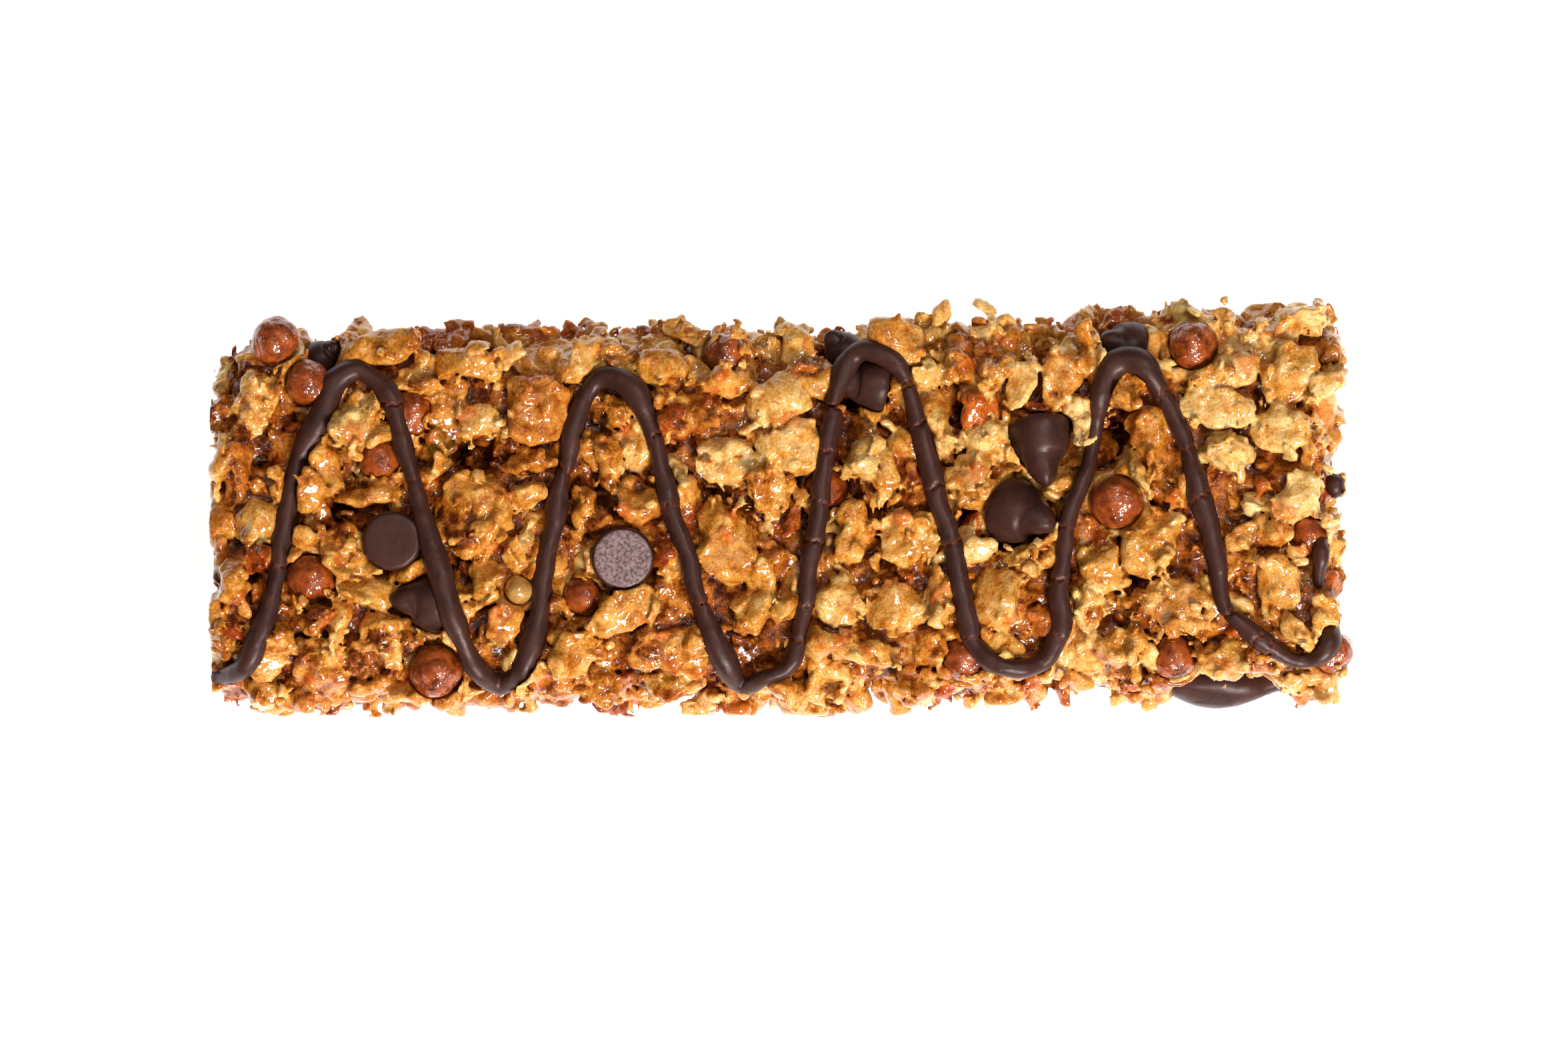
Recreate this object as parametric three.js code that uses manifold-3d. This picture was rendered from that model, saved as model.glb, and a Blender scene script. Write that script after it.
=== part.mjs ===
// A cut granola bar: glazed puffed flakes and crisps pressed into a slab on a thin coat of
// chocolate, with chocolate chips, round cocoa crisps and a zigzag of chocolate drizzled on top.
// Millimetres. +X runs along the bar, +Y to its back, +Z up. The origin is under its middle.

import * as THREE from "three";
import { SimplifyModifier } from "three/addons/modifiers/SimplifyModifier.js";
import { mergeVertices } from "three/addons/utils/BufferGeometryUtils.js";
import Module from "manifold-3d";

// ---- Driving sizes ---------------------------------------------------------------------

const LEFT_CUT = -49.6; // the knife cut at each end of the slab
const RIGHT_CUT = 47.9;
const CUT_ROUGH = 0.4; // how far pieces stand out of a cut
const COAT_THICK = 1.8; // the chocolate under the slab
const COAT_GAP = 0.3; // kept free between the coat and the slab on it
const SOCKET_GAP = 0.4; // kept free round each chip and crisp set into the slab
const PUDDLE_GAP = 0.65; // kept free round the puddle at its foot
const SLAB_BOTTOM = COAT_THICK + COAT_GAP;
const SLAB_TOP = 15.4; // the mean top of the slab, before its flakes
const EDGE_ROUND = 3.4; // how far in from a side the top starts to fall
const EDGE_DROP = 3.2; // how far it falls there
const SIDE_TUCK = 0.9; // how far the sides draw in at their top and bottom corners
const SIDE_MIDDLE = 8; // the height at which they don't
const SIDE_HALF = 7.5; // half the height of a side
// Uneven height of the top, as waves of a height, a length and a place in the noise.
const TOP_WAVES = [[0.45, 4.2, 3.7], [0.35, 2.3, 8.1]];

// The back and the front of the bar at half height, as [x, y].
const BACK_EDGE = [
  [-49.6, 12.6], [-46.5, 14.1], [-39.6, 14.0], [-34.3, 14.7], [-24, 14.6], [-10, 15.2], [-2.6, 14.6],
  [4, 14.4], [12, 15.4], [18, 15.9], [21.5, 15.0], [30, 16.1], [40, 16.8], [47.9, 16.4],
];
const FRONT_EDGE = [
  [-49.6, -16.2], [-44, -16.9], [-36, -16.5], [-22, -16.2], [-14, -16.9], [-8, -16.3], [4, -17.0],
  [9, -16.0], [13, -16.8], [20, -16.6], [24.5, -15.1], [30.5, -16.4], [34.5, -15.6],
  [38.5, -15.1], [42.5, -15.3], [45, -16.0], [47.9, -15.6],
];

// Deep dark crevices in the top, as [x, y, length along X, length along Y, depth].
const CREVICES = [
  [-46.8, -7, 2.4, 1.8, 1.6], [-45.4, 3.9, 1.8, 1.8, 1.5], [-41.5, 6.4, 2.2, 2.4, 2.2],
  [-40.6, -2.4, 2.2, 2.2, 1.6], [-38.5, -0.7, 2.8, 1.8, 2.2], [-41.1, -12.6, 2.8, 2.2, 2.0],
  [-26.9, 4.1, 3.6, 2.4, 2.4], [-25.0, -8.4, 1.6, 2.8, 1.8], [-16.5, 0.3, 3.8, 3.4, 2.6],
  [-14.5, -1.9, 2.6, 1.4, 1.8], [-5.4, 0.8, 4.6, 1.4, 2.0], [-0.2, -0.8, 1.8, 1.8, 1.6],
  [5.5, 6.7, 1.6, 2.2, 1.8], [10.1, 7.4, 1.8, 1.8, 1.8], [14.2, 8.7, 3.6, 2.2, 2.4],
  [16.1, -1.3, 2.6, 2.0, 3.0], [7.8, -4.5, 4.0, 1.8, 2.0], [7.9, -0.1, 2.2, 2.2, 1.8],
  [28.8, 5.5, 3.4, 3.4, 3.4], [25.8, 4.9, 1.4, 3.0, 2.2], [32.0, -7.2, 3.8, 2.4, 2.0],
  [40.7, -8.4, 2.4, 2.4, 1.8], [43.0, -11.2, 2.2, 1.6, 1.6], [40.3, 5.7, 1.6, 1.6, 1.4],
];

// The flakes and clusters that stand out on top, as [x, y, length, width, turn in degrees].
const LARGE_PIECES = [
  [-45.8, 8.3, 7.8, 3.9, 78], [-47.4, 3.9, 7.2, 2.6, 95], [-46.1, -1.9, 4.5, 3.6, 60],
  [-40.0, 3.7, 7.4, 2.4, 100], [-37.0, 7, 5.6, 3.8, 70], [-35.7, 0.5, 6.4, 2.1, 8],
  [-37.8, -4.5, 6.0, 4.6, 115], [-40.6, -10.9, 3.1, 2.7, 20], [-27.4, -1.5, 7.6, 6.8, 60],
  [-26.3, 6.8, 4.0, 3.0, 15], [-30.2, 4.3, 3.9, 2.8, 80], [-21.6, 7.9, 6.8, 5.2, 70],
  [-22.6, 3.1, 5.4, 2.0, -6], [-22.3, 0.5, 4.4, 2.8, 12], [-14.2, 7.6, 2.6, 2.0, 90],
  [-15.1, 3.4, 5.0, 3.2, 95], [-12.6, -0.1, 4.7, 4.3, 30], [-5.0, 3.4, 5.0, 4.4, 10],
  [0.4, 4.8, 6.8, 5.2, -15], [-0.6, 8.8, 6.2, 4.6, 5],
  [-4.9, -3.7, 7.6, 5.4, 85], [-2.4, -8.3, 7.0, 3.2, 80],
  [-14.3, -10, 8.2, 3.6, 28], [-9.4, -12.8, 9.6, 3.6, 14], [7.9, 7.9, 3.4, 2.6, 20],
  [7.0, 3.3, 4.1, 3.3, 70], [9.1, 1.6, 5.6, 2.0, 95], [5.8, -2.9, 6.2, 2.8, 75],
  [11.2, -3.6, 6.0, 4.8, 10], [4.9, -9.1, 5.2, 4.2, 3], [16.0, 2.6, 5.3, 4.0, 60],
  [18.0, 5.3, 4.4, 3.0, -20], [20.8, 10.5, 5.6, 2.8, 80], [19.2, -8.8, 6.2, 5.2, 25],
  [9.7, 13.7, 4.9, 4.8, 0], [31.9, 4.9, 6.2, 3.8, 85], [37.6, 8.1, 7.2, 3.6, -8],
  [38.7, 3.9, 5.0, 4.6, 30], [43.4, 6.2, 5.5, 4.7, 40], [44.2, 10.9, 6.6, 4.6, 60],
  [17.1, 7.9, 4.4, 3.0, 100],
  [44.6, 0.4, 5.2, 3.8, 70], [41.4, -3.1, 6.4, 2.7, 10], [43.2, -7.8, 6.6, 4.0, 80],
  [32.2, -4, 6.6, 5.2, 75], [28.0, -5.5, 5.8, 3.8, 100], [34.3, -9.2, 7.0, 4.6, -15],
  [29.8, -12.8, 4.6, 3.4, 20], [38.2, -13.8, 4.7, 3.6, 5], [0.9, 13.6, 3.8, 3.0, 80],
  [-35.3, 13.0, 6.4, 3.2, 5], [-27.2, 11.9, 6.6, 3.4, 0], [-10.4, 11.2, 5.4, 3.4, -10],
  [-48.0, -7.2, 4.4, 2.8, 90], [-38.4, -10.4, 3.8, 2.8, 70], [-35.0, -12.4, 5.8, 4.0, 100],
  [-26.2, -7.0, 4.6, 2.6, 80], [-24.2, -10.4, 5.4, 3.2, 85], [-17.6, -1.2, 4.4, 2.8, 95],
  [-18.6, -13.6, 5.0, 3.4, 40], [9.8, -9.4, 5.6, 4.6, 20], [7.4, -13.2, 6.8, 3.6, -8],
  [13.6, -8.6, 4.2, 2.8, 80], [24.4, 10.4, 5.6, 3.6, 85], [26.8, -9.4, 5.0, 3.6, 100],
  [38.6, 11.4, 6.4, 4.0, 20], [44.6, -11.2, 4.2, 2.8, -15],
];

// Lumps that stand out of the sides, as [x, z, length, height, how far out, turn in degrees].
const FRONT_LUMPS = [
  [-46.6, 8.2, 4.6, 4.6, 1.2, 10], [-40.8, 6.8, 5.8, 5.0, 1.6, -20], [-32.8, 7.0, 5.4, 4.6, 1.4, 15],
  [-26.2, 6.4, 4.6, 4.4, 1.3, 0], [-14.4, 7.0, 5.4, 4.6, 1.2, 25], [-5.0, 7.6, 5.8, 5.0, 1.6, 10],
  [3.8, 7.2, 6.2, 5.2, 1.3, 0], [11.4, 7.6, 5.2, 4.8, 1.2, -15], [17.0, 8.2, 4.6, 4.2, 0.5, 20],
  [21.2, 7.4, 4.4, 4.2, 0.9, 0], [30.8, 7.0, 4.8, 4.4, 0.7, 30], [38.2, 9.4, 5.0, 3.6, 0.4, 5],
];
const BACK_LUMPS = [
  [-37.4, 11.4, 5.2, 4.4, 1.2, 0], [-30.0, 10.4, 5.6, 4.4, 0.4, 10], [-20.0, 9.8, 5.4, 4.6, 0.2, -10],
  [-9.8, 11.0, 5.6, 4.4, 0.6, 0], [1.0, 11.2, 4.4, 4.0, 1.3, 20], [15.6, 10.6, 6.0, 4.8, 0.4, 0],
  [26.0, 11.0, 4.8, 4.4, 0.6, -20], [38.8, 10.4, 6.4, 4.4, 0.4, 10], [44.0, 8.8, 5.4, 4.6, 0.4, 0],
];

// Small flakes and crisps that a seeded rule spreads over the rest.
const SCATTER_SEED = 41;
const SCATTER_TOP = 150;
const SCATTER_FRONT = 44;
const SCATTER_BACK = 44;
const SCATTER_END = 14; // on each cut face
const SCATTER_APART = 2.1; // the least distance between two of them
const CRISP_LENGTH = [2.2, 3.9];
const CRISP_FLATNESS = [0.55, 0.85]; // width over length

// Chocolate chips. axis points from the flat base to the tip, which leans over towards curl.
// radius is that of the base, tall is how drawn out the chip is, and rise is how far it lies
// above the mean top.
const CHIPS = [
  { name: "chip_left_disc", at: [-33.9, -3.5], rise: -0.3, radius: 2.6, axis: [0.08, 0.1, -1] },
  {
    name: "chip_under_drizzle", at: [-31.4, -8.9], rise: -0.2, radius: 2.6, tall: 1.2,
    axis: [-0.9, 0.05, 0.3], curl: [0, -1, 0],
  },
  { name: "chip_pale_disc", at: [-14.0, -5.0], rise: -0.2, radius: 2.75, axis: [-0.05, 0.12, -1] },
  {
    name: "chip_under_loop", at: [7.2, 10.2], rise: -0.9, radius: 2.3, tall: 1.3,
    axis: [-0.95, 0.1, 0.2], curl: [0, 0, 1],
  },
  {
    name: "chip_back_middle", at: [4.8, 13.9], rise: -2.4, radius: 1.7,
    axis: [-0.6, 0.6, 0.4], curl: [0, 0, 1],
  },
  {
    name: "chip_pair_upper", at: [22.6, 4.8], rise: -0.4, radius: 2.8, tall: 1.4,
    axis: [0.1, -0.95, 0.28], curl: [1, 0, 0.3],
  },
  {
    name: "chip_pair_lower", at: [21.0, -1.3], rise: 0, radius: 2.95, tall: 1.25,
    axis: [0.68, -0.3, 0.6], curl: [-0.2, -1, 0],
  },
  {
    name: "chip_back_right", at: [29.4, 13.9], rise: -0.9, radius: 2.2,
    axis: [-0.7, 0.2, 0.5], curl: [0, 1, 0],
  },
  {
    name: "chip_back_left", at: [-39.9, 13.1], rise: -2.3, radius: 1.6,
    axis: [0.7, 0.5, 0.4], curl: [0, 0, 1],
  },
];
const CHIP_SIDES = 9;
const CHIP_SUNK = 0.35; // share of its radius by which a chip is sunk along its axis
// The chip's outline from its tip to the middle of its flat base, in shares of its radius.
const CHIP_PROFILE = [
  [0, 1.18], [0.36, 1.02], [0.5, 0.76], [0.8, 0.42], [1, -0.12], [0.9, -0.4], [0, -0.4],
];
const CHIP_SOCKET_PROFILE = [[0, 1.28], [0.46, 1.12], [0.92, 0.4], [1.06, -0.42], [0, -0.42]];
const CHIP_SOCKET_SIDES = 8;
const CURL_FROM = 0.5; // the height from which the tip leans over, as a share of the radius
const CURL_TURN = 55; // degrees by which it leans at its very end

// Round cocoa crisps, each at [x, y, height of its middle above the mean top].
const BALLS = [
  { name: "ball_back_corner", at: [-44.4, 14.0, -0.5], radius: 2.15 },
  { name: "ball_left_top", at: [-41.4, 10.2, -0.3], radius: 2.1 },
  { name: "ball_by_left_loop", at: [-32.6, 7.6, -0.9], radius: 2.2 },
  { name: "ball_left_middle", at: [-35.1, 3.6, -0.6], radius: 1.9 },
  { name: "ball_left_front", at: [-41.2, -7, -0.2], radius: 2.25 },
  { name: "ball_front_edge", at: [-30.2, -14.8, -1.4], radius: 2.4 },
  { name: "ball_by_pale_disc", at: [-17.5, -8.4, -0.6], radius: 1.75 },
  { name: "ball_back_middle", at: [-5.1, 12.8, -1.1], radius: 1.95 },
  { name: "ball_under_leg", at: [3.9, 1.1, -1.3], radius: 1.9 },
  { name: "ball_glossy", at: [29.0, -0.1, 0.1], radius: 2.4 },
  { name: "ball_back_right", at: [35.8, 13.6, -0.6], radius: 2.15 },
  { name: "ball_front_right", at: [34.1, -13.6, -2.0], radius: 2.0 },
  { name: "ball_right_end", at: [45.9, -3.1, -1.2], radius: 1.75 },
  { name: "ball_front_corner", at: [48.1, -13.2, -2.6], radius: 1.9 },
  { name: "ball_under_bottom_loop", at: [15.7, -13.8, -1.5], radius: 1.9 },
];
const BEAD = { name: "amber_bead", at: [-23.0, -7.9, 0.0], radius: 1.3 };

// The drizzle's route over the top, as [x, y, width]: four loops at the back, three in front.
const DRIZZLE_ROUTE = [
  [-49.4, -15.3, 1.5], [-46.9, -14.6, 2.0], [-45.6, -11.8, 2.1], [-44.2, -6.6, 1.7],
  [-43.3, -1.7, 1.9], [-42.2, 3.4, 1.9], [-40.2, 7.6, 2.3], [-39.0, 10.2, 2.3],
  [-36.7, 11.2, 1.9], [-34.4, 9.4, 2.1], [-33.4, 6.4, 1.9], [-32.2, 2.1, 1.7],
  [-30.8, -3.0, 2.1], [-29.3, -8.1, 2.2], [-27.8, -12.1, 2.1], [-26.2, -15.1, 2.0],
  [-24.6, -15.9, 2.2], [-22.6, -14.7, 2.1], [-21.3, -10.6, 2.0], [-20.6, -5.7, 1.9],
  [-19.6, -0.3, 2.0], [-18.9, 2.8, 1.5], [-18.3, 6.2, 2.1], [-16.8, 9.8, 2.1],
  [-15.0, 10.8, 2.2], [-12.6, 9.1, 2.3], [-11.2, 5.5, 1.8], [-10.0, 0.3, 1.9],
  [-8.3, -5.2, 2.0], [-6.9, -9.8, 1.8], [-5.5, -13.5, 2.2], [-3.6, -16.0, 1.7],
  [-1.6, -15.7, 1.5], [0.6, -14.3, 1.7], [1.8, -10.2, 1.7], [2.4, -5.7, 1.9],
  [3.3, 0.3, 2.0], [3.8, 5.0, 1.9], [4.5, 9.0, 1.6], [5.8, 12.2, 2.1],
  [7.5, 13.0, 2.1], [9.8, 11.9, 1.9], [11.1, 9.8, 1.5], [12.0, 6.0, 2.0],
  [13.2, 1.1, 1.9], [14.8, -3.7, 1.9], [15.9, -9.8, 2.1], [17.0, -13.1, 2.1],
  [19.6, -14.8, 1.6], [22.6, -14.0, 1.9], [24.2, -11.0, 1.9], [24.1, -7.0, 1.7],
  [25.0, -1.3, 1.6], [26.4, 2.3, 1.8], [27.2, 5.6, 1.3], [27.6, 8.6, 2.2],
  [28.6, 11.2, 2.6], [30.0, 12.0, 2.6], [31.6, 11.2, 2.6], [33.2, 8.8, 1.9],
  [35.0, 5.0, 1.8], [36.2, 0.3, 2.0], [37.8, -5.0, 1.9], [38.3, -8.8, 1.7],
  [38.9, -10.2, 1.6], [40.6, -11.6, 1.9], [42.0, -12.6, 1.7], [43.9, -13.8, 1.2],
  [45.4, -14.0, 1.3], [46.9, -13.6, 1.7], [47.7, -12.5, 2.3], [47.8, -11.7, 2.3],
];
const DRIZZLE_STEP = 1.3; // length of one stretch of it
const DRIZZLE_SIDES = 7;
const DRIZZLE_LIFT = 0.5; // share of its radius that its axis lies above what it rests on

// Chocolate that ran down at the right end: a drop on the cut, as [x, y, z, thickness], and a
// strip along its edge.
const RIGHT_DROP = [48.3, 1.4, 13.2, 2.2];
const RIGHT_STRIP = [[46.8, -1.8, 1.0], [47.0, -4.4, 1.4], [46.9, -7.3, 1.2]]; // as [x, y, width]

const MASS_TRIANGLES = 10500; // the mass is thinned out to this many

const MATERIALS = {
  granola: new THREE.MeshStandardMaterial({ name: "glazed_granola", color: 0xc08a42, roughness: 0.4 }),
  chocolate: new THREE.MeshStandardMaterial({ name: "dark_chocolate", color: 0x33201b, roughness: 0.4 }),
  crisp: new THREE.MeshStandardMaterial({ name: "cocoa_crisp", color: 0x9a4a22, roughness: 0.35 }),
  bead: new THREE.MeshStandardMaterial({ name: "amber_bead", color: 0xc79a4a, roughness: 0.3 }),
};

// ---- Seeded numbers --------------------------------------------------------------------

function seeded(seed) {
  let state = seed;
  return () => {
    state = (Math.imul(state, 1664525) + 1013904223) >>> 0;
    return state / 4294967296;
  };
}

const between = ([low, high], share) => low + (high - low) * share;

// A fixed number from 0 to 1 for each point of a whole-number lattice.
function latticeValue(i, j, k) {
  const wave = Math.sin(i * 127.1 + j * 311.7 + k * 74.7) * 43758.5453;
  return wave - Math.floor(wave);
}

// Smooth noise from -1 to 1 that changes over a distance of 1.
function noise(x, y, z) {
  const [i, j, k] = [Math.floor(x), Math.floor(y), Math.floor(z)];
  const ease = (t) => t * t * (3 - 2 * t);
  const [a, b, c] = [ease(x - i), ease(y - j), ease(z - k)];
  let sum = 0;
  for (const [di, dj, dk] of [0, 1, 2, 3, 4, 5, 6, 7].map((n) => [n & 1, (n >> 1) & 1, n >> 2])) {
    const weight = (di ? a : 1 - a) * (dj ? b : 1 - b) * (dk ? c : 1 - c);
    sum += weight * latticeValue(i + di, j + dj, k + dk);
  }
  return 2 * sum - 1;
}

// ---- Solids ----------------------------------------------------------------------------

const wasm = await Module();
wasm.setup();
const { Manifold } = wasm;

const MERGE_DISTANCE = 0.001;
const WELD = 0.15; // half the width of a weld
const WELD_PASSES = 3;

// The closed solid of a geometry, with the flat triangles of its poles left out.
function solidOf(geometry) {
  const bare = new THREE.BufferGeometry();
  bare.setAttribute("position", geometry.getAttribute("position"));
  bare.setIndex(geometry.index);
  const merged = mergeVertices(bare, MERGE_DISTANCE);
  const corners = [];
  const index = merged.index.array;
  for (let i = 0; i < index.length; i += 3) {
    const [a, b, c] = [index[i], index[i + 1], index[i + 2]];
    if (a !== b && b !== c && c !== a) corners.push(a, b, c);
  }
  return new Manifold(
    new wasm.Mesh({
      numProp: 3,
      vertProperties: merged.getAttribute("position").array,
      triVerts: new Uint32Array(corners),
    }),
  );
}

function geometryOf(solid) {
  const { vertProperties, triVerts, numProp } = solid.getMesh();
  const points = new Float32Array((vertProperties.length / numProp) * 3);
  for (let i = 0; i < points.length / 3; i++)
    points.set(vertProperties.subarray(i * numProp, i * numProp + 3), i * 3);
  const geometry = new THREE.BufferGeometry();
  geometry.setAttribute("position", new THREE.BufferAttribute(points, 3));
  geometry.setIndex(new THREE.BufferAttribute(triVerts, 1));
  return geometry;
}

// The largest body of a solid: loose scraps go, and hollows that fusing sealed are filled.
function oneBody(solid) {
  return solid.decompose().reduce((best, body) => (body.volume() > best.volume() ? body : best));
}

// Edges that four faces share, where two parts of a body only touch.
function touchingEdges(geometry) {
  const position = geometry.getAttribute("position");
  const corner = (n) => new THREE.Vector3().fromBufferAttribute(position, n);
  const nameOf = (p) => p.toArray().map((v) => v.toFixed(4)).join(" ");
  const edges = new Map();
  const index = geometry.index.array;
  for (let i = 0; i < index.length; i++) {
    const [a, b] = [corner(index[i]), corner(index[i % 3 === 2 ? i - 2 : i + 1])];
    const key = [nameOf(a), nameOf(b)].sort().join(" ");
    edges.set(key, { a, b, uses: (edges.get(key)?.uses ?? 0) + 1 });
  }
  return [...edges.values()].filter(({ uses }) => uses > 2);
}

// A thin lens along an edge, which joins the two parts that touch there.
function weldSolid({ a, b }) {
  const middle = a.clone().add(b).multiplyScalar(0.5);
  const lens = new THREE.OctahedronGeometry(1);
  lens.scale(WELD, WELD, 0.5 * a.distanceTo(b) + WELD);
  return solidOf(lens.applyMatrix4(standing(middle.toArray(), b.clone().sub(a).toArray(), 0)));
}

function welded(solid) {
  let whole = solid;
  for (let pass = 0; pass < WELD_PASSES; pass++) {
    const welds = touchingEdges(geometryOf(whole)).map(weldSolid);
    if (welds.length) whole = oneBody(Manifold.union([whole, ...welds]));
  }
  return whole;
}

function moveVertices(geometry, move) {
  const position = geometry.getAttribute("position");
  const point = new THREE.Vector3();
  for (let i = 0; i < position.count; i++) {
    move(point.fromBufferAttribute(position, i));
    position.setXYZ(i, point.x, point.y, point.z);
  }
  return geometry;
}

// ---- The slab --------------------------------------------------------------------------

// The y of an edge line at x, eased between its points.
function edgeAt(edge, x) {
  const next = Math.max(1, edge.findIndex(([px]) => px >= x));
  const last = x >= edge[edge.length - 1][0] ? edge.length - 1 : next;
  const [[x0, y0], [x1, y1]] = [edge[last - 1], edge[last]];
  const t = Math.min(Math.max((x - x0) / (x1 - x0), 0), 1);
  return y0 + (y1 - y0) * t * t * (3 - 2 * t);
}

function creviceDepth(x, y) {
  let depth = 0;
  for (const [cx, cy, length, width, deep] of CREVICES) {
    const away = ((x - cx) / (0.5 * length)) ** 2 + ((y - cy) / (0.5 * width)) ** 2;
    depth = Math.max(depth, deep * Math.exp(-0.7 * away));
  }
  return depth;
}

// The height of the slab's top before its flakes, with rounded sides and crevices.
function topHeight(x, y) {
  const inward = Math.min(y - edgeAt(FRONT_EDGE, x), edgeAt(BACK_EDGE, x) - y);
  const near = Math.min(Math.max(1 - inward / EDGE_ROUND, 0), 1);
  const relief = TOP_WAVES.reduce(
    (sum, [height, across, level]) => sum + height * noise(x / across, y / across, level),
    0,
  );
  return SLAB_TOP + relief - EDGE_DROP * near * near - creviceDepth(x, y);
}

// How far a side lies in from its edge line at height z: most at the top and bottom corners.
function sideInset(z) {
  return SIDE_TUCK * ((z - SIDE_MIDDLE) / SIDE_HALF) ** 4;
}

const SLAB_CELLS = [62, 21, 8];
const SIDE_WAVE = 0.7; // how far the sides bulge in and out
const END_WAVE = 0.45; // how far the cut ends do

function slabSolid() {
  const box = new THREE.BoxGeometry(1, 1, 1, ...SLAB_CELLS);
  moveVertices(box, (p) => {
    const [u, v, w] = [p.x + 0.5, p.y + 0.5, p.z + 0.5];
    const x = LEFT_CUT + (RIGHT_CUT - LEFT_CUT) * u;
    const [front, back] = [edgeAt(FRONT_EDGE, x), edgeAt(BACK_EDGE, x)];
    const flatY = front + (back - front) * v;
    const z = SLAB_BOTTOM + (topHeight(x, flatY) - SLAB_BOTTOM) * w;
    const inset = sideInset(z) * (1 - 2 * v);
    const sideWave = SIDE_WAVE * noise(x / 3.6, z / 3.1, 5 + 9 * v) * (2 * v - 1) ** 3;
    const endWave = END_WAVE * noise(flatY / 2.8, z / 2.6, 2 + 7 * u) * (2 * u - 1) ** 5;
    p.set(x + endWave, flatY + inset + sideWave, z);
  });
  return solidOf(box);
}

// ---- Flakes and crisps -----------------------------------------------------------------

const UNEVEN = 0.22; // share of its size by which a flake is lumpy
const FLAKE_BEND = 0.3;
const FLAKE_LEAN = 0.22;
const SIDE_LUMP_THICK = 3.6;

// A lumpy body of a given length, width and thickness, bent along its length.
function lumpGeometry([length, width, thick], sides, rows, bend, seed) {
  const ball = new THREE.SphereGeometry(1, sides, rows);
  return moveVertices(ball, (p) => {
    const uneven = 1 + UNEVEN * noise(p.x * 1.4 + seed, p.y * 1.4, p.z * 1.4);
    p.multiplyScalar(uneven);
    p.z += bend * (p.x * p.x - 0.4);
    p.set((p.x * length) / 2, (p.y * width) / 2, (p.z * thick) / 2);
  });
}

// A frame whose Z points out of the surface, turned about that by the given degrees.
function standing(at, out, turn) {
  const spin = new THREE.Quaternion().setFromAxisAngle(
    new THREE.Vector3(0, 0, 1),
    THREE.MathUtils.degToRad(turn),
  );
  const lean = new THREE.Quaternion().setFromUnitVectors(
    new THREE.Vector3(0, 0, 1),
    new THREE.Vector3(...out).normalize(),
  );
  return new THREE.Matrix4().compose(
    new THREE.Vector3(...at),
    lean.multiply(spin),
    new THREE.Vector3(1, 1, 1),
  );
}

function largePieces() {
  return LARGE_PIECES.map(([x, y, length, width, turn], n) => {
    const thick = 1.6 + 0.32 * width;
    const lean = [FLAKE_LEAN * noise(n, 1.5, 0), FLAKE_LEAN * noise(n, 7.5, 0), 1];
    const at = [x, y, topHeight(x, y) + creviceDepth(x, y)];
    const bend = FLAKE_BEND * noise(n, 3.5, 0);
    const body = lumpGeometry([length, width, thick], 9, 6, bend, 10 * n);
    return solidOf(body.applyMatrix4(standing(at, lean, turn)));
  });
}

function sideLumps(lumps, edge, facing) {
  return lumps.map(([x, z, length, height, outBy, turn], n) => {
    const y = edgeAt(edge, x) + facing * (outBy - 0.5 * SIDE_LUMP_THICK + 0.2);
    const size = [length, height, SIDE_LUMP_THICK];
    const body = lumpGeometry(size, 8, 6, 0.5 * FLAKE_BEND, 300 + 10 * n + 100 * facing);
    return solidOf(body.applyMatrix4(standing([x, y, z], [0, facing, 0], facing * turn)));
  });
}

const MOST_TRIES = 4000;

// Spots spread over one face by trial, each clear of the others and of what is kept free.
function spots(count, random, draw, taken) {
  const found = [];
  for (let tries = 0; found.length < count && tries < MOST_TRIES; tries++) {
    const spot = draw(random);
    const clear = [...found, ...taken].every(([x, y, z, clearance = 1]) => {
      const away = Math.hypot(spot[0] - x, spot[1] - y, spot[2] - z);
      return away > SCATTER_APART * clearance;
    });
    if (clear) found.push(spot);
  }
  return found;
}

// Places on the top that are already filled or stay open, as [x, y, z, clearance].
function takenOnTop() {
  const large = LARGE_PIECES.map(([x, y]) => [x, y, topHeight(x, y), 1.05]);
  const open = CREVICES.map(([x, y]) => [x, y, topHeight(x, y), 0.8]);
  const chips = CHIPS.map(({ at: [x, y] }) => [x, y, topHeight(x, y), 1.6]);
  const balls = BALLS.map(({ at: [x, y] }) => [x, y, topHeight(x, y), 1.4]);
  return [...large, ...open, ...chips, ...balls];
}

function crisp(at, out, random) {
  const length = between(CRISP_LENGTH, random());
  const width = length * between(CRISP_FLATNESS, random());
  const thick = 0.75 * width;
  const body = lumpGeometry([length, width, thick], 6, 4, 0.2, 600 + 100 * random());
  const lean = out.map((v) => v + 0.5 * (random() - 0.5));
  return solidOf(body.applyMatrix4(standing(at, lean, 360 * random())));
}

const CUT_MARGIN = 1; // no crisp's middle is nearer to a cut

function drawX(draw) {
  return LEFT_CUT + CUT_MARGIN + (RIGHT_CUT - LEFT_CUT - 2 * CUT_MARGIN) * draw();
}

// A height on a side, clear of its top and its bottom by 2 mm.
function drawZ(draw) {
  return SLAB_BOTTOM + 2 + (SLAB_TOP - SLAB_BOTTOM - 4) * draw();
}

function topSpot(draw) {
  const x = drawX(draw);
  const [front, back] = [edgeAt(FRONT_EDGE, x) + 0.6, edgeAt(BACK_EDGE, x) - 0.6];
  const y = front + (back - front) * draw();
  return [x, y, topHeight(x, y)];
}

function sideSpot(draw, edge, facing) {
  const x = drawX(draw);
  const z = drawZ(draw);
  return [x, edgeAt(edge, x) - facing * (0.35 + sideInset(z)), z];
}

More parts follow.
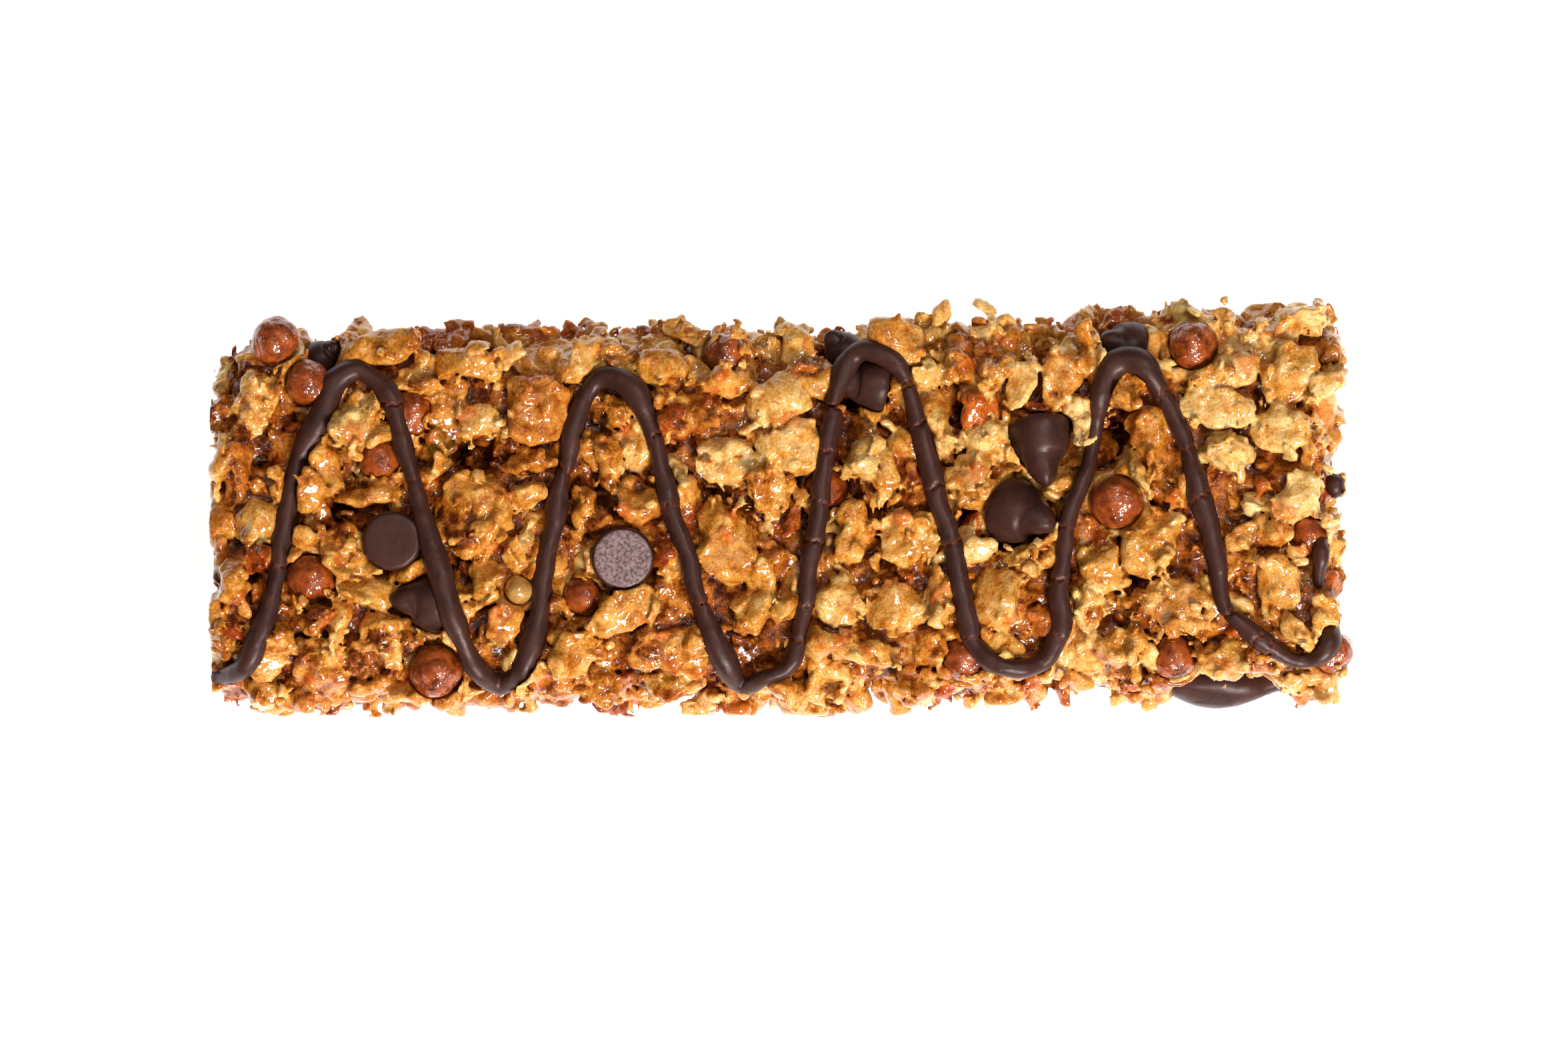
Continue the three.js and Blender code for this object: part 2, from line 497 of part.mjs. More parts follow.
function scatteredCrisps() {
  const random = seeded(SCATTER_SEED);
  const onFace = (found, out) => found.map((at) => crisp(at, out, random));
  const onTop = spots(SCATTER_TOP, random, topSpot, takenOnTop());
  const onSide = (count, edge, facing, lumps) => {
    const taken = lumps.map(([x, z]) => [x, edgeAt(edge, x), z, 1.4]);
    return spots(count, random, (draw) => sideSpot(draw, edge, facing), taken);
  };
  const onEnd = (x) => spots(SCATTER_END, random, (draw) => [x, -12 + 24 * draw(), drawZ(draw)], []);
  return [
    ...onFace(onTop, [0, 0, 1]),
    ...onFace(onSide(SCATTER_FRONT, FRONT_EDGE, -1, FRONT_LUMPS), [0, -1, 0]),
    ...onFace(onSide(SCATTER_BACK, BACK_EDGE, 1, BACK_LUMPS), [0, 1, 0]),
    ...onFace(onEnd(LEFT_CUT), [-1, 0, 0]),
    ...onFace(onEnd(RIGHT_CUT), [1, 0, 0]),
  ];
}

// ---- Chips, cocoa crisps and the bead --------------------------------------------------

// Bends the tip of a chip that stands on Z over towards +X. Sizes are shares of its radius.
function curlTip(p) {
  const along = p.z - CURL_FROM;
  if (along <= 0) return;
  const bendRadius = (CHIP_PROFILE[0][1] - CURL_FROM) / THREE.MathUtils.degToRad(CURL_TURN);
  const angle = along / bendRadius;
  const outward = bendRadius - p.x;
  p.x = bendRadius - outward * Math.cos(angle);
  p.z = CURL_FROM + outward * Math.sin(angle);
}

// A frame whose Z runs along a chip's axis and whose X leans towards its curl.
function chipFrame(at, axis, curl) {
  const z = new THREE.Vector3(...axis).normalize();
  const y = new THREE.Vector3().crossVectors(z, new THREE.Vector3(...curl)).normalize();
  const x = new THREE.Vector3().crossVectors(y, z);
  return new THREE.Matrix4().makeBasis(x, y, z).setPosition(...at);
}

function chipSolid(chip, grown, profile, sides) {
  const { at: [x, y], rise, radius, axis, tall = 1, curl = [1, 0, 0] } = chip;
  const size = radius + grown;
  const outline = profile.map(([r, h]) => new THREE.Vector2(r, h));
  const body = new THREE.LatheGeometry(outline.reverse(), sides).rotateX(Math.PI / 2);
  moveVertices(body, (p) => {
    curlTip(p);
    if (p.z > 0) p.z *= tall;
    p.multiplyScalar(size).z -= CHIP_SUNK * radius;
  });
  return solidOf(body.applyMatrix4(chipFrame([x, y, SLAB_TOP + rise], axis, curl)));
}

const BALL_DETAIL = 1;
const BALL_UNEVEN = 0.06;

function ballSolid({ at: [x, y, rise], radius }, grown) {
  const ball = new THREE.IcosahedronGeometry(1, BALL_DETAIL);
  moveVertices(ball, (p) => {
    const uneven = 1 + BALL_UNEVEN * noise(p.x * 1.3 + x, p.y * 1.3 + y, p.z * 1.3);
    p.multiplyScalar(radius * uneven + grown);
  });
  return solidOf(ball.translate(x, y, SLAB_TOP + rise));
}

// ---- Drizzle ---------------------------------------------------------------------------

// A closed strand through points, its thickness following theirs and running out at both ends.
function strandSolid(points, thickness, step, sides) {
  const curve = new THREE.CatmullRomCurve3(points, false, "centripetal");
  const rings = Math.round(curve.getLength() / step);
  const tube = new THREE.TubeGeometry(curve, rings, 1, sides, false);
  const position = tube.getAttribute("position");
  const ringPoint = new THREE.Vector3();
  for (let i = 0; i <= rings; i++) {
    const centre = curve.getPointAt(i / rings);
    const along = curve.getUtoTmapping(i / rings) * (points.length - 1);
    const at = Math.min(Math.floor(along), points.length - 2);
    const width = between([thickness[at], thickness[at + 1]], along - at);
    const fade = i === 0 || i === rings ? 0 : 1;
    for (let j = 0; j <= sides; j++) {
      const n = i * (sides + 1) + j;
      ringPoint.fromBufferAttribute(position, n).sub(centre);
      ringPoint.multiplyScalar(0.5 * width * fade).add(centre);
      position.setXYZ(n, ringPoint.x, ringPoint.y, ringPoint.z);
    }
  }
  return solidOf(tube);
}

const SAG_OVER_EDGE = 1.6; // how steeply the drizzle runs down once it is past the front

// Heights that the drizzle lies on: what is under each point, evened out along the route.
function restHeights(route, meshes) {
  const down = new THREE.Vector3(0, 0, -1);
  const found = route.map(([x, y]) => {
    const inside = Math.min(Math.max(y, edgeAt(FRONT_EDGE, x) + 0.5), edgeAt(BACK_EDGE, x) - 0.5);
    const above = new THREE.Vector3(x, inside, 2 * SLAB_TOP);
    const hits = new THREE.Raycaster(above, down).intersectObjects(meshes);
    return hits.length ? hits[0].point.z : SLAB_TOP - EDGE_DROP;
  });
  return found.map((height, n) => {
    const around = [found[Math.max(n - 1, 0)], height, found[Math.min(n + 1, found.length - 1)]];
    return 0.5 * Math.max(...around) + 0.5 * height;
  });
}

// A strand that lies on the meshes along a route of [x, y, width].
function drizzleSolid(route, meshes) {
  const heights = restHeights(route, meshes);
  const points = route.map(([x, y, width], n) => {
    const overEdge = Math.max(0, edgeAt(FRONT_EDGE, x) + 0.9 - y);
    const z = heights[n] + 0.5 * DRIZZLE_LIFT * width - SAG_OVER_EDGE * overEdge;
    return new THREE.Vector3(x, y, z);
  });
  const widths = route.map(([, , width]) => width);
  return strandSolid(points, widths, DRIZZLE_STEP, DRIZZLE_SIDES);
}

function rightDrop() {
  const [x, y, z, thick] = RIGHT_DROP;
  return solidOf(new THREE.SphereGeometry(0.5 * thick, 8, 6).translate(x, y, z));
}

// ---- Chocolate coat --------------------------------------------------------------------

// Where the coat ran out beyond the slab, in front and at the back.
const FRONT_FOOT = { x: 38.8, halfLength: 5.6, out: 1.5 };
const BACK_FOOT = { x: 30.5, halfLength: 17.5, out: 1.7 };
// The puddle that set against the front there.
const PUDDLE = { at: [38.6, -15.4, 0.9], size: [11.4, 4.4, 5.2] };

function footAt(foot, x) {
  return foot.out * Math.exp(-(((x - foot.x) / foot.halfLength) ** 4));
}

const COAT_CELLS = [40, 1, 2];
const COAT_TOLERANCE = 0.05; // flat stretches of the coat are thinned out to this

function coatSolid() {
  const box = new THREE.BoxGeometry(1, 1, 1, ...COAT_CELLS);
  moveVertices(box, (p) => {
    const [u, v, w] = [p.x + 0.5, p.y + 0.5, p.z + 0.5];
    const x = LEFT_CUT + (RIGHT_CUT - LEFT_CUT) * u;
    const wave = 0.35 * noise(x / 2.6, 4 * v, 1.3) + 0.25 * noise(x / 6, 4 * v, 6.3);
    const round = 0.4 * (2 * w - 1) ** 2;
    const front = edgeAt(FRONT_EDGE, x) + 0.2 + wave - footAt(FRONT_FOOT, x) + round;
    const back = edgeAt(BACK_EDGE, x) - 0.2 + wave + footAt(BACK_FOOT, x) - round;
    p.set(x, front + (back - front) * v, COAT_THICK * w);
  });
  return Manifold.union(solidOf(box).simplify(COAT_TOLERANCE), puddleSolid(0));
}

// The puddle, grown by some for the room that the slab leaves it.
function puddleSolid(grown) {
  const body = lumpGeometry(PUDDLE.size.map((v) => v + 2 * grown), 12, 8, 0, 900);
  const [x, y, z] = PUDDLE.at;
  const floor = new THREE.BoxGeometry(60, 60, 30).translate(x, y, 15);
  return solidOf(body.translate(x, y, z)).intersect(solidOf(floor));
}

// ---- The bar ---------------------------------------------------------------------------

const bar = new THREE.Group();
bar.name = "granola_bar";

function addNode(name, solid, material) {
  const mesh = new THREE.Mesh(geometryOf(solid), material);
  mesh.geometry.computeVertexNormals();
  mesh.name = name;
  bar.add(mesh);
  return mesh;
}

async function buildBar() {
  const chips = CHIPS.map((chip) => {
    const solid = chipSolid(chip, 0, CHIP_PROFILE, CHIP_SIDES);
    return addNode(chip.name, solid, MATERIALS.chocolate);
  });
  const balls = BALLS.map((ball) => addNode(ball.name, ballSolid(ball, 0), MATERIALS.crisp));
  const bead = addNode(BEAD.name, ballSolid(BEAD, 0), MATERIALS.bead);
  addNode("chocolate_base", coatSolid(), MATERIALS.chocolate);

  // What stands out past the knife cuts and under the slab is cut off.
  const reach = new THREE.BoxGeometry(RIGHT_CUT - LEFT_CUT + 2 * CUT_ROUGH, 60, 40);
  reach.translate((LEFT_CUT + RIGHT_CUT) / 2, 0, SLAB_BOTTOM + 20);
  const pieces = [
    slabSolid(),
    ...largePieces(),
    ...sideLumps(FRONT_LUMPS, FRONT_EDGE, -1),
    ...sideLumps(BACK_LUMPS, BACK_EDGE, 1),
    ...scatteredCrisps(),
  ];
  const slab = Manifold.union(pieces).intersect(solidOf(reach));
  const resting = [new THREE.Mesh(geometryOf(slab)), ...chips, ...balls, bead];
  const sockets = [
    ...CHIPS.map((chip) => chipSolid(chip, SOCKET_GAP, CHIP_SOCKET_PROFILE, CHIP_SOCKET_SIDES)),
    ...[...BALLS, BEAD].map((ball) => ballSolid(ball, SOCKET_GAP)),
    puddleSolid(PUDDLE_GAP),
  ];
  const strands = [DRIZZLE_ROUTE, RIGHT_STRIP].map((route) => drizzleSolid(route, resting));
  const mass = Manifold.union([slab, ...strands, rightDrop()]);
  const fused = geometryOf(oneBody(mass.subtract(Manifold.union(sockets))));
  const surplus = fused.getAttribute("position").count - MASS_TRIANGLES / 2;
  const lean = await new SimplifyModifier().modify(fused, surplus);
  addNode("granola_mass", welded(oneBody(solidOf(lean))), MATERIALS.granola);
}

await buildBar();

export default bar;
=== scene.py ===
import math

import bpy
import numpy as np
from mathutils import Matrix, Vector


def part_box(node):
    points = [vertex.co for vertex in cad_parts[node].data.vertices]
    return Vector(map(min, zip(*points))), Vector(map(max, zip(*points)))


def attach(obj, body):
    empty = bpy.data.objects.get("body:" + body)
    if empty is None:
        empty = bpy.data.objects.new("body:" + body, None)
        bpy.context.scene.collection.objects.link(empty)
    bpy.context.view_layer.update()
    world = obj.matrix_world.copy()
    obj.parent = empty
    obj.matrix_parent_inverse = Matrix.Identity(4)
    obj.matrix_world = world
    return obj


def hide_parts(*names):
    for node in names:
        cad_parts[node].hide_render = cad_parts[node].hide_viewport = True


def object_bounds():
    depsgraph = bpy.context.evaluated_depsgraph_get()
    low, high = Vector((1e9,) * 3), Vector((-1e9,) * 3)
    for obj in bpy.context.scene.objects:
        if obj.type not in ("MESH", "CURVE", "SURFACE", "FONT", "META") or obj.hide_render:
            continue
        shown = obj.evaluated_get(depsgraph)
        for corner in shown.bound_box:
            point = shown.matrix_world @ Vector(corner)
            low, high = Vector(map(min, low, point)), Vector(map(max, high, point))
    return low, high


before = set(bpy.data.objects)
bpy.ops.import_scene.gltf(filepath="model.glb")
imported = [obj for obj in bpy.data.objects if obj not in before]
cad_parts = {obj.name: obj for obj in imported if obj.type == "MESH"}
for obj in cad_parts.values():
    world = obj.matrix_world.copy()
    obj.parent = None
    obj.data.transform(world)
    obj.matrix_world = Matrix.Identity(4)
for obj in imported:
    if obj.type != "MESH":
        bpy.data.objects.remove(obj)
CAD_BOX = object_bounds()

import openvdb
from mathutils import Quaternion, Vector

MM = 0.001
BOX = np.array(CAD_BOX) / MM  # lowest and highest corner of all solids, in millimetres

# ---- Sizes, in millimetres ---------------------------------------------------------------

GRANOLA_STEP = 0.265  # spacing of the samples that the granola is meshed from
CHOCOLATE_STEP = 0.22
COAT_STEP = 0.5

THINNED = 0.1  # how far flat stretches of a meshed surface are thinned out, from 0 to 1

SLAB_TOP = 15.4
COAT_THICK = 1.8
COAT_CREEP = [0.45, 0.35]  # how far the coat has crept up the granola, and how much that varies
CORE_SINK = 0.6  # the syrupy core lies this far under the solid's surface
CORE_CRUMPLE = [[2.6, 0.5], [1.2, 0.3]]  # how uneven the core is: over what length, by how much
# the core shows where no piece covers it, mostly in the gaps: its dark tone is partly the syrup's own
# colour and partly painted shade there
CORE_TONE = 0.36
CORE_TINT = 0.1
CELL_COARSE = [1.6, 0.3]  # the crumbly relief: size of its cells and its height
CELL_FINE = [0.75, 0.14]
RELIEF_BAND = 0.8  # relief is worked out this near the surface
WARPS = [[2.3, 0.62], [1.05, 0.34]]  # how pieces are distorted: over what length, by how much
WARPED_FROM = 0.9  # a piece thinner than twice this is distorted less
SEAM_WIDTH = 0.24
SEAM_DEPTH = 0.25  # how deep the grooves between pieces are
PIECE_SQUARE = 2.7  # 2 makes pieces round, more makes them flatter with crisper edges
PIECE_GAP = 0.04  # room left round chips, round crisps and the bead
COAT_GAP = 0.06
GRANOLA_INSET = 0.05  # how far the granola and the drizzle stay inside the solids' box
DRIZZLE_INSET = 0.03

# The larger pieces on top: x, y, length, width, turn in degrees, tone from 0 dark to 1 pale, and tint
# from -1 greenish over 0 golden to 1 orange-red. They are clusters where no other kind is named.
LARGE_PIECES = [
    (-45.8, 8.3, 7.8, 3.9, 78, 0.85, 0, "flake"), (-47.4, 3.9, 7.2, 2.6, 95, 0.5, 0.2),
    (-46.1, -1.9, 4.5, 3.6, 60, 0.78, -0.1), (-40.0, 3.7, 7.4, 2.4, 100, 0.65, 0),
    (-37.0, 7.0, 5.6, 3.8, 70, 0.74, 0), (-35.7, 0.5, 6.4, 2.1, 8, 0.6, 0.1),
    (-37.8, -4.5, 6.0, 4.6, 115, 0.74, 0), (-40.6, -10.9, 3.1, 2.7, 20, 0.55, 0.1),
    (-27.4, -1.5, 7.6, 6.8, 60, 0.66, 0.1), (-26.3, 6.8, 4.0, 3.0, 15, 0.84, 0, "flake"),
    (-30.2, 4.3, 3.9, 2.8, 80, 0.55, -0.7), (-21.6, 7.9, 6.8, 5.2, 70, 0.6, 0.3),
    (-22.6, 3.1, 5.4, 2.0, -6, 0.55, 0.1), (-22.3, 0.5, 4.4, 2.8, 12, 0.78, 0),
    (-14.2, 7.6, 2.6, 2.0, 90, 0.5, -0.2), (-15.1, 3.4, 5.0, 3.2, 95, 0.6, 0),
    (-12.6, -0.1, 4.7, 4.3, 30, 0.6, 0.1), (-5.0, 3.4, 5.0, 4.4, 10, 0.92, 0),
    (0.4, 4.8, 6.8, 5.2, -15, 0.8, 0), (-0.6, 8.8, 6.2, 4.6, 5, 0.82, 0),
    (-4.9, -3.7, 7.6, 5.4, 85, 0.62, 0.1), (-2.4, -8.3, 7.0, 3.2, 80, 0.66, 0),
    (-14.3, -10.0, 8.2, 3.6, 28, 0.7, 0.1, "flake"), (-9.4, -12.8, 9.6, 3.6, 14, 0.66, 0.2, "flake"),
    (7.9, 7.9, 3.4, 2.6, 20, 0.66, 0), (7.0, 3.3, 4.1, 3.3, 70, 0.88, 0),
    (9.1, 1.6, 5.6, 2.0, 95, 0.74, 0.1, "grain"), (5.8, -2.9, 6.2, 2.8, 75, 0.68, 0),
    (11.2, -3.6, 6.0, 4.8, 10, 0.7, 0), (4.9, -9.1, 5.2, 4.2, 3, 0.78, 0.1),
    (16.0, 2.6, 5.3, 4.0, 60, 0.7, 0.2, "flake"), (18.0, 5.3, 4.4, 3.0, -20, 0.84, 0.1),
    (20.8, 10.5, 5.6, 2.8, 80, 0.86, 0, "flake"), (19.2, -8.8, 6.2, 5.2, 25, 0.68, 0.2),
    (9.7, 13.7, 4.9, 4.8, 0, 0.68, 0.2), (31.9, 4.9, 6.2, 3.8, 85, 0.56, 0.2),
    (37.6, 8.1, 7.2, 3.6, -8, 0.82, 0, "flake"), (38.7, 3.9, 5.0, 4.6, 30, 0.84, -0.1),
    (43.4, 6.2, 5.5, 4.7, 40, 0.82, 0, "flake"), (44.2, 10.9, 6.6, 4.6, 60, 0.64, 0.1, "flake"),
    (44.6, 0.4, 5.2, 3.8, 70, 0.84, 0), (41.4, -3.1, 6.4, 2.7, 10, 0.55, 0.2),
    (43.2, -7.8, 6.6, 4.0, 80, 0.66, 0), (32.2, -4.0, 6.6, 5.2, 75, 0.66, 0),
    (28.0, -5.5, 5.8, 3.8, 100, 0.66, 0), (34.3, -9.2, 7.0, 4.6, -15, 0.66, 0.3, "flake"),
    (29.8, -12.8, 4.6, 3.4, 20, 0.6, 0.1), (38.2, -13.8, 4.7, 3.6, 5, 0.62, 0.1),
    (0.9, 13.6, 3.8, 3.0, 80, 0.66, 0), (17.1, 7.9, 4.4, 3.0, 100, 0.6, 0.9),
    (-35.3, 13.0, 6.4, 3.2, 5, 0.66, 0.1), (-27.2, 11.9, 6.6, 3.4, 0, 0.66, 0),
    (-10.4, 11.2, 5.4, 3.4, -10, 0.66, 0.1), (-48.0, -7.2, 4.4, 2.8, 90, 0.6, 0.1),
    (-38.4, -10.4, 3.8, 2.8, 70, 0.7, 0), (-35.0, -12.4, 5.8, 4.0, 100, 0.72, 0),
    (-26.2, -7.0, 4.6, 2.6, 80, 0.66, 0), (-24.2, -10.4, 5.4, 3.2, 85, 0.66, 0),
    (-17.6, -1.2, 4.4, 2.8, 95, 0.62, 0.1), (-18.6, -13.6, 5.0, 3.4, 40, 0.66, 0.1),
    (9.8, -9.4, 5.6, 4.6, 20, 0.74, 0), (7.4, -13.2, 6.8, 3.6, -8, 0.72, 0.1),
    (13.6, -8.6, 4.2, 2.8, 80, 0.66, 0), (24.4, 10.4, 5.6, 3.6, 85, 0.66, 0.3),
    (26.8, -9.4, 5.0, 3.6, 100, 0.82, 0), (38.6, 11.4, 6.4, 4.0, 20, 0.74, 0),
    (44.6, -11.2, 4.2, 2.8, -15, 0.74, 0), (-47.6, -11.6, 2.7, 2.2, 30, 0.62, 1),
]
PIECE_LEAN = 0.22
PIECE_BEND = 0.25
FLAKE_THICK = 1.3
LUMP_THICK = [1.6, 0.32]  # a thickness, and what is added for each millimetre of width
LARGE_SUNK = 0.3  # how far their middles lie under the solid's top, as a share of their thickness
EVENED_OVER = 3  # the top's mean height is taken over this length on each side
LOWEST_TOP = 6  # where the granola is lower than this, the bar ends

# Pieces that a seeded rule spreads over the solid's faces: how many, their lengths, width over
# length, thickness over width, how far they sink in, and how softly the syrup joins them.
SPREAD_SEED = 7
SPREAD_LEAN = 0.35
LOWEST_FACING = -0.6  # none lie on faces that point down more than this
BY_LARGE = 0.18  # one may be skipped this near to a larger piece, as a share of its length
MEDIUM = {
    "count": 1900, "length": [3.0, 6.0], "flat": [0.45, 0.85], "thick": 0.6,
    "sunk": 0.3, "blend": 0.08, "skipped": 1.0,
}
SMALL = {
    "count": 1700, "length": [0.9, 1.9], "flat": [0.55, 0.95], "thick": 0.75,
    "sunk": 0.2, "blend": 0.1, "skipped": 0.75,
}
# Angular bits on the skin of everything else, each in about the tone of what it lies on.
BITS = {
    "count": 5200, "length": [0.9, 2.4], "flat": [0.5, 0.95], "thick": 0.6,
    "sunk": 0.2, "blend": 0.12, "lean": 0.4, "skipped_on_sides": 0.55,
}
# How many flat faces a piece of each kind has.
CUTS = {"flake": 3, "lump": 3, "grain": 2, "crisp": 4, "pale_crisp": 4, "crumb": 4, "bit": 4}
CUT_AT = [0.62, 0.92]  # how far from a piece's middle they lie, as a share of its half size
PALE_FROM = 0.68  # the tone from which a crisp is a pale one
PAINTED_SHADE_BY_DEPTH = 0.1  # painted shade: how much darker pieces are painted for each millimetre that they lie deeper
TONE_OF_CELLS = [0.24, 0.16]  # how much the coarse and the fine cells of the relief differ in tone
ORANGE_CELLS = 0.94  # the share of coarse cells that aren't orange
TONE_LIFT_AND_PAINTED_LIGHT = [0.03, 0.09]  # added to the tone everywhere, and on top towards the right end: painted light, lighter to the right and darker to the left
PAINTED_SHADE_REACH = [0.9, 2.2]  # painted shade: a spot is painted darker by the granola around it, over these distances

# Chips: x, y, height above the mean top, radius of the flat base, how drawn out, axis to the tip,
# and the way that the tip leans.
CHIPS = {
    "chip_left_disc": [-33.9, -3.5, -0.3, 2.6, 1.0, (0.08, 0.1, -1), (1, 0, 0)],
    "chip_under_drizzle": [-31.4, -8.9, -0.2, 2.6, 1.2, (-0.9, 0.05, 0.3), (0, -1, 0)],
    "chip_pale_disc": [-14.0, -5.0, -0.2, 2.75, 1.0, (-0.05, 0.12, -1), (1, 0, 0)],
    "chip_under_loop": [7.2, 10.2, -0.9, 2.3, 1.3, (-0.95, 0.1, 0.2), (0, 0, 1)],
    "chip_back_middle": [4.8, 13.9, -2.4, 1.7, 1.0, (-0.6, 0.6, 0.4), (0, 0, 1)],
    "chip_pair_upper": [22.6, 4.8, -0.4, 2.8, 1.4, (0.1, -0.95, 0.28), (1, 0, 0.3)],
    "chip_pair_lower": [21.0, -1.3, 0.0, 2.95, 1.25, (0.68, -0.3, 0.6), (-0.2, -1, 0)],
    "chip_back_right": [29.4, 13.9, -0.9, 2.2, 1.0, (-0.7, 0.2, 0.5), (0, 1, 0)],
    "chip_back_left": [-39.9, 13.1, -2.3, 1.6, 1.0, (0.7, 0.5, 0.4), (0, 0, 1)],
}
CHIP_SUNK = 0.35
CHIP_SIDES = 72
OPEN_ROUNDS = ["ball_glossy", "ball_back_corner", "ball_back_right", "amber_bead"]
RIM_BITS = 5  # on each of the other rounds
RIM_BIT_SIZE = [2.2, 1.5, 1.1]
UNCOVERED_ROUNDS = OPEN_ROUNDS + ["ball_left_top", "ball_front_edge"]  # nothing lies over these
ROUND_LUMPS = [[0.45, 0.05], [1.1, 0.2]]  # size and height of a round's lumps, as shares of its radius
BED_THICK = 0.7  # of the syrupy bed under a round piece
BED_PROUD = 0.6  # how far the bed may stand out of the solid
CURL_FROM = 0.5  # the height from which the tip leans over, as a share of the radius
CURL_TURN = 55  # degrees by which it leans at its very end
# The chip's outline from its tip to the middle of its base, in shares of its radius.
CHIP_PROFILE = [
    (0, 1.13), (0.17, 1.12), (0.3, 1.07), (0.39, 0.98), (0.45, 0.88), (0.5, 0.8), (0.56, 0.71),
    (0.6, 0.61), (0.76, 0.45), (0.9, 0.22), (0.98, 0.0), (1.0, -0.14), (0.99, -0.27),
    (0.95, -0.35), (0.88, -0.39), (0.7, -0.4), (0.35, -0.4), (0, -0.4),
]
CHIP_TOP = CHIP_PROFILE[0][1]
CHIP_FLOOR = CHIP_PROFILE[-1][1]
CURL_BEND = (CHIP_TOP - CURL_FROM) / math.radians(CURL_TURN)  # radius of the tip's bend

# The drizzle's route over the top: x, y, width.
DRIZZLE_ROUTE = [
    (-49.4, -15.3, 1.5), (-46.9, -14.6, 2.0), (-45.6, -11.8, 2.1), (-44.2, -6.6, 1.7),
    (-43.3, -1.7, 1.9), (-42.2, 3.4, 1.9), (-40.2, 7.6, 2.3), (-39.0, 10.2, 2.3),
    (-36.7, 11.2, 1.9), (-34.4, 9.4, 2.1), (-33.4, 6.4, 1.9), (-32.2, 2.1, 1.7),
    (-30.8, -3.0, 2.1), (-29.3, -8.1, 2.2), (-27.8, -12.1, 2.1), (-26.2, -15.1, 2.0),
    (-24.6, -15.9, 2.2), (-22.6, -14.7, 2.1), (-21.3, -10.6, 2.0), (-20.6, -5.7, 1.9),
    (-19.6, -0.3, 2.0), (-18.9, 2.8, 1.5), (-18.3, 6.2, 2.1), (-16.8, 9.8, 2.1),
    (-15.0, 10.8, 2.2), (-12.6, 9.1, 2.3), (-11.2, 5.5, 1.8), (-10.0, 0.3, 1.9),
    (-8.3, -5.2, 2.0), (-6.9, -9.8, 1.8), (-5.5, -13.5, 2.2), (-3.6, -16.0, 1.7),
    (-1.6, -15.7, 1.5), (0.6, -14.3, 1.7), (1.8, -10.2, 1.7), (2.4, -5.7, 1.9),
    (3.3, 0.3, 2.0), (3.8, 5.0, 1.9), (4.5, 9.0, 1.6), (5.8, 12.2, 2.1),
    (7.5, 13.0, 2.1), (9.8, 11.9, 1.9), (11.1, 9.8, 1.5), (12.0, 6.0, 2.0),
    (13.2, 1.1, 1.9), (14.8, -3.7, 1.9), (15.9, -9.8, 2.1), (17.0, -13.1, 2.1),
    (19.6, -14.8, 1.6), (22.6, -14.0, 1.9), (24.2, -11.0, 1.9), (24.1, -7.0, 1.7),
    (25.0, -1.3, 1.6), (26.4, 2.3, 1.8), (27.2, 5.6, 1.3), (27.6, 8.6, 2.2),
    (28.6, 11.2, 2.6), (30.0, 12.0, 2.6), (31.6, 11.2, 2.6), (33.2, 8.8, 1.9),
    (35.0, 5.0, 1.8), (36.2, 0.3, 2.0), (37.8, -5.0, 1.9), (38.3, -8.8, 1.7),
    (38.9, -10.2, 1.6), (40.6, -11.6, 1.9), (42.0, -12.6, 1.7), (43.9, -13.8, 1.2),
    (45.4, -14.0, 1.3), (46.9, -13.6, 1.7), (47.7, -12.5, 2.3), (47.8, -11.7, 2.3),
]
# Where the drizzle cracked: x, y, width of the crack.
CRACKS = [
    (-44.0, -5.7, 0.2), (-33.9, 8.2, 0.3), (-32.0, 1.7, 0.2), (-18.9, 2.7, 0.25), (-11.4, 5.5, 0.15),
    (-9.8, -0.5, 0.15), (-7.2, -9.1, 0.2), (1.1, -12.2, 0.2), (1.9, -9.2, 0.2), (3.0, -3.8, 0.25),
    (3.3, -0.2, 0.2), (3.6, 4.3, 0.2), (4.2, 8.1, 0.5), (10.7, 10.1, 0.6), (11.8, 6.4, 0.25),
    (12.9, 1.0, 0.25), (14.7, -3.9, 0.2), (16.4, -12.2, 0.2), (23.7, -11.6, 0.2), (23.7, -7.0, 0.25),
    (24.6, -2.5, 0.25), (32.5, 8.8, 0.2), (34.9, 4.3, 0.2), (36.0, 0.0, 0.2), (38.7, -9.9, 0.3),
    (41.2, -12.1, 0.2), (42.4, -13.0, 0.25),
]
CRACK_DEPTH = 0.3
BREAK_WIDTH = 0.4  # from this width on, a crack goes right through
RIGHT_DROP = (48.3, 1.4, 13.2, 2.2)  # x, y, z and width
RIGHT_STRIP = [(46.8, -1.8, 1.0), (47.0, -4.4, 1.4), (46.9, -7.3, 1.2)]
PUDDLE_ZONE = (33.5, 43.0, -14.4)  # from x to x, and in front of y: left bare, so the puddle shows
STRAND_STEP = 0.2  # spacing of the round samples along a strand
STRAND_WOBBLE = [[3.1, 0.16], [1.3, 0.07]]  # how far it strays: over what length, by how much
STRAND_SWELL = 0.16  # share of its width by which it is thicker and thinner along its way
STRAND_SLIM = 0.95  # its mean width, as a share of the solid's
STRAND_KEEL = [0.3, 0.88]  # a second strand under it: how much lower and how wide, as shares of its width

# ---- Seeded noise ------------------------------------------------------------------------


def ease(share):
    """A share from 0 to 1 with a soft start and end."""
    return share * share * (3 - 2 * share)


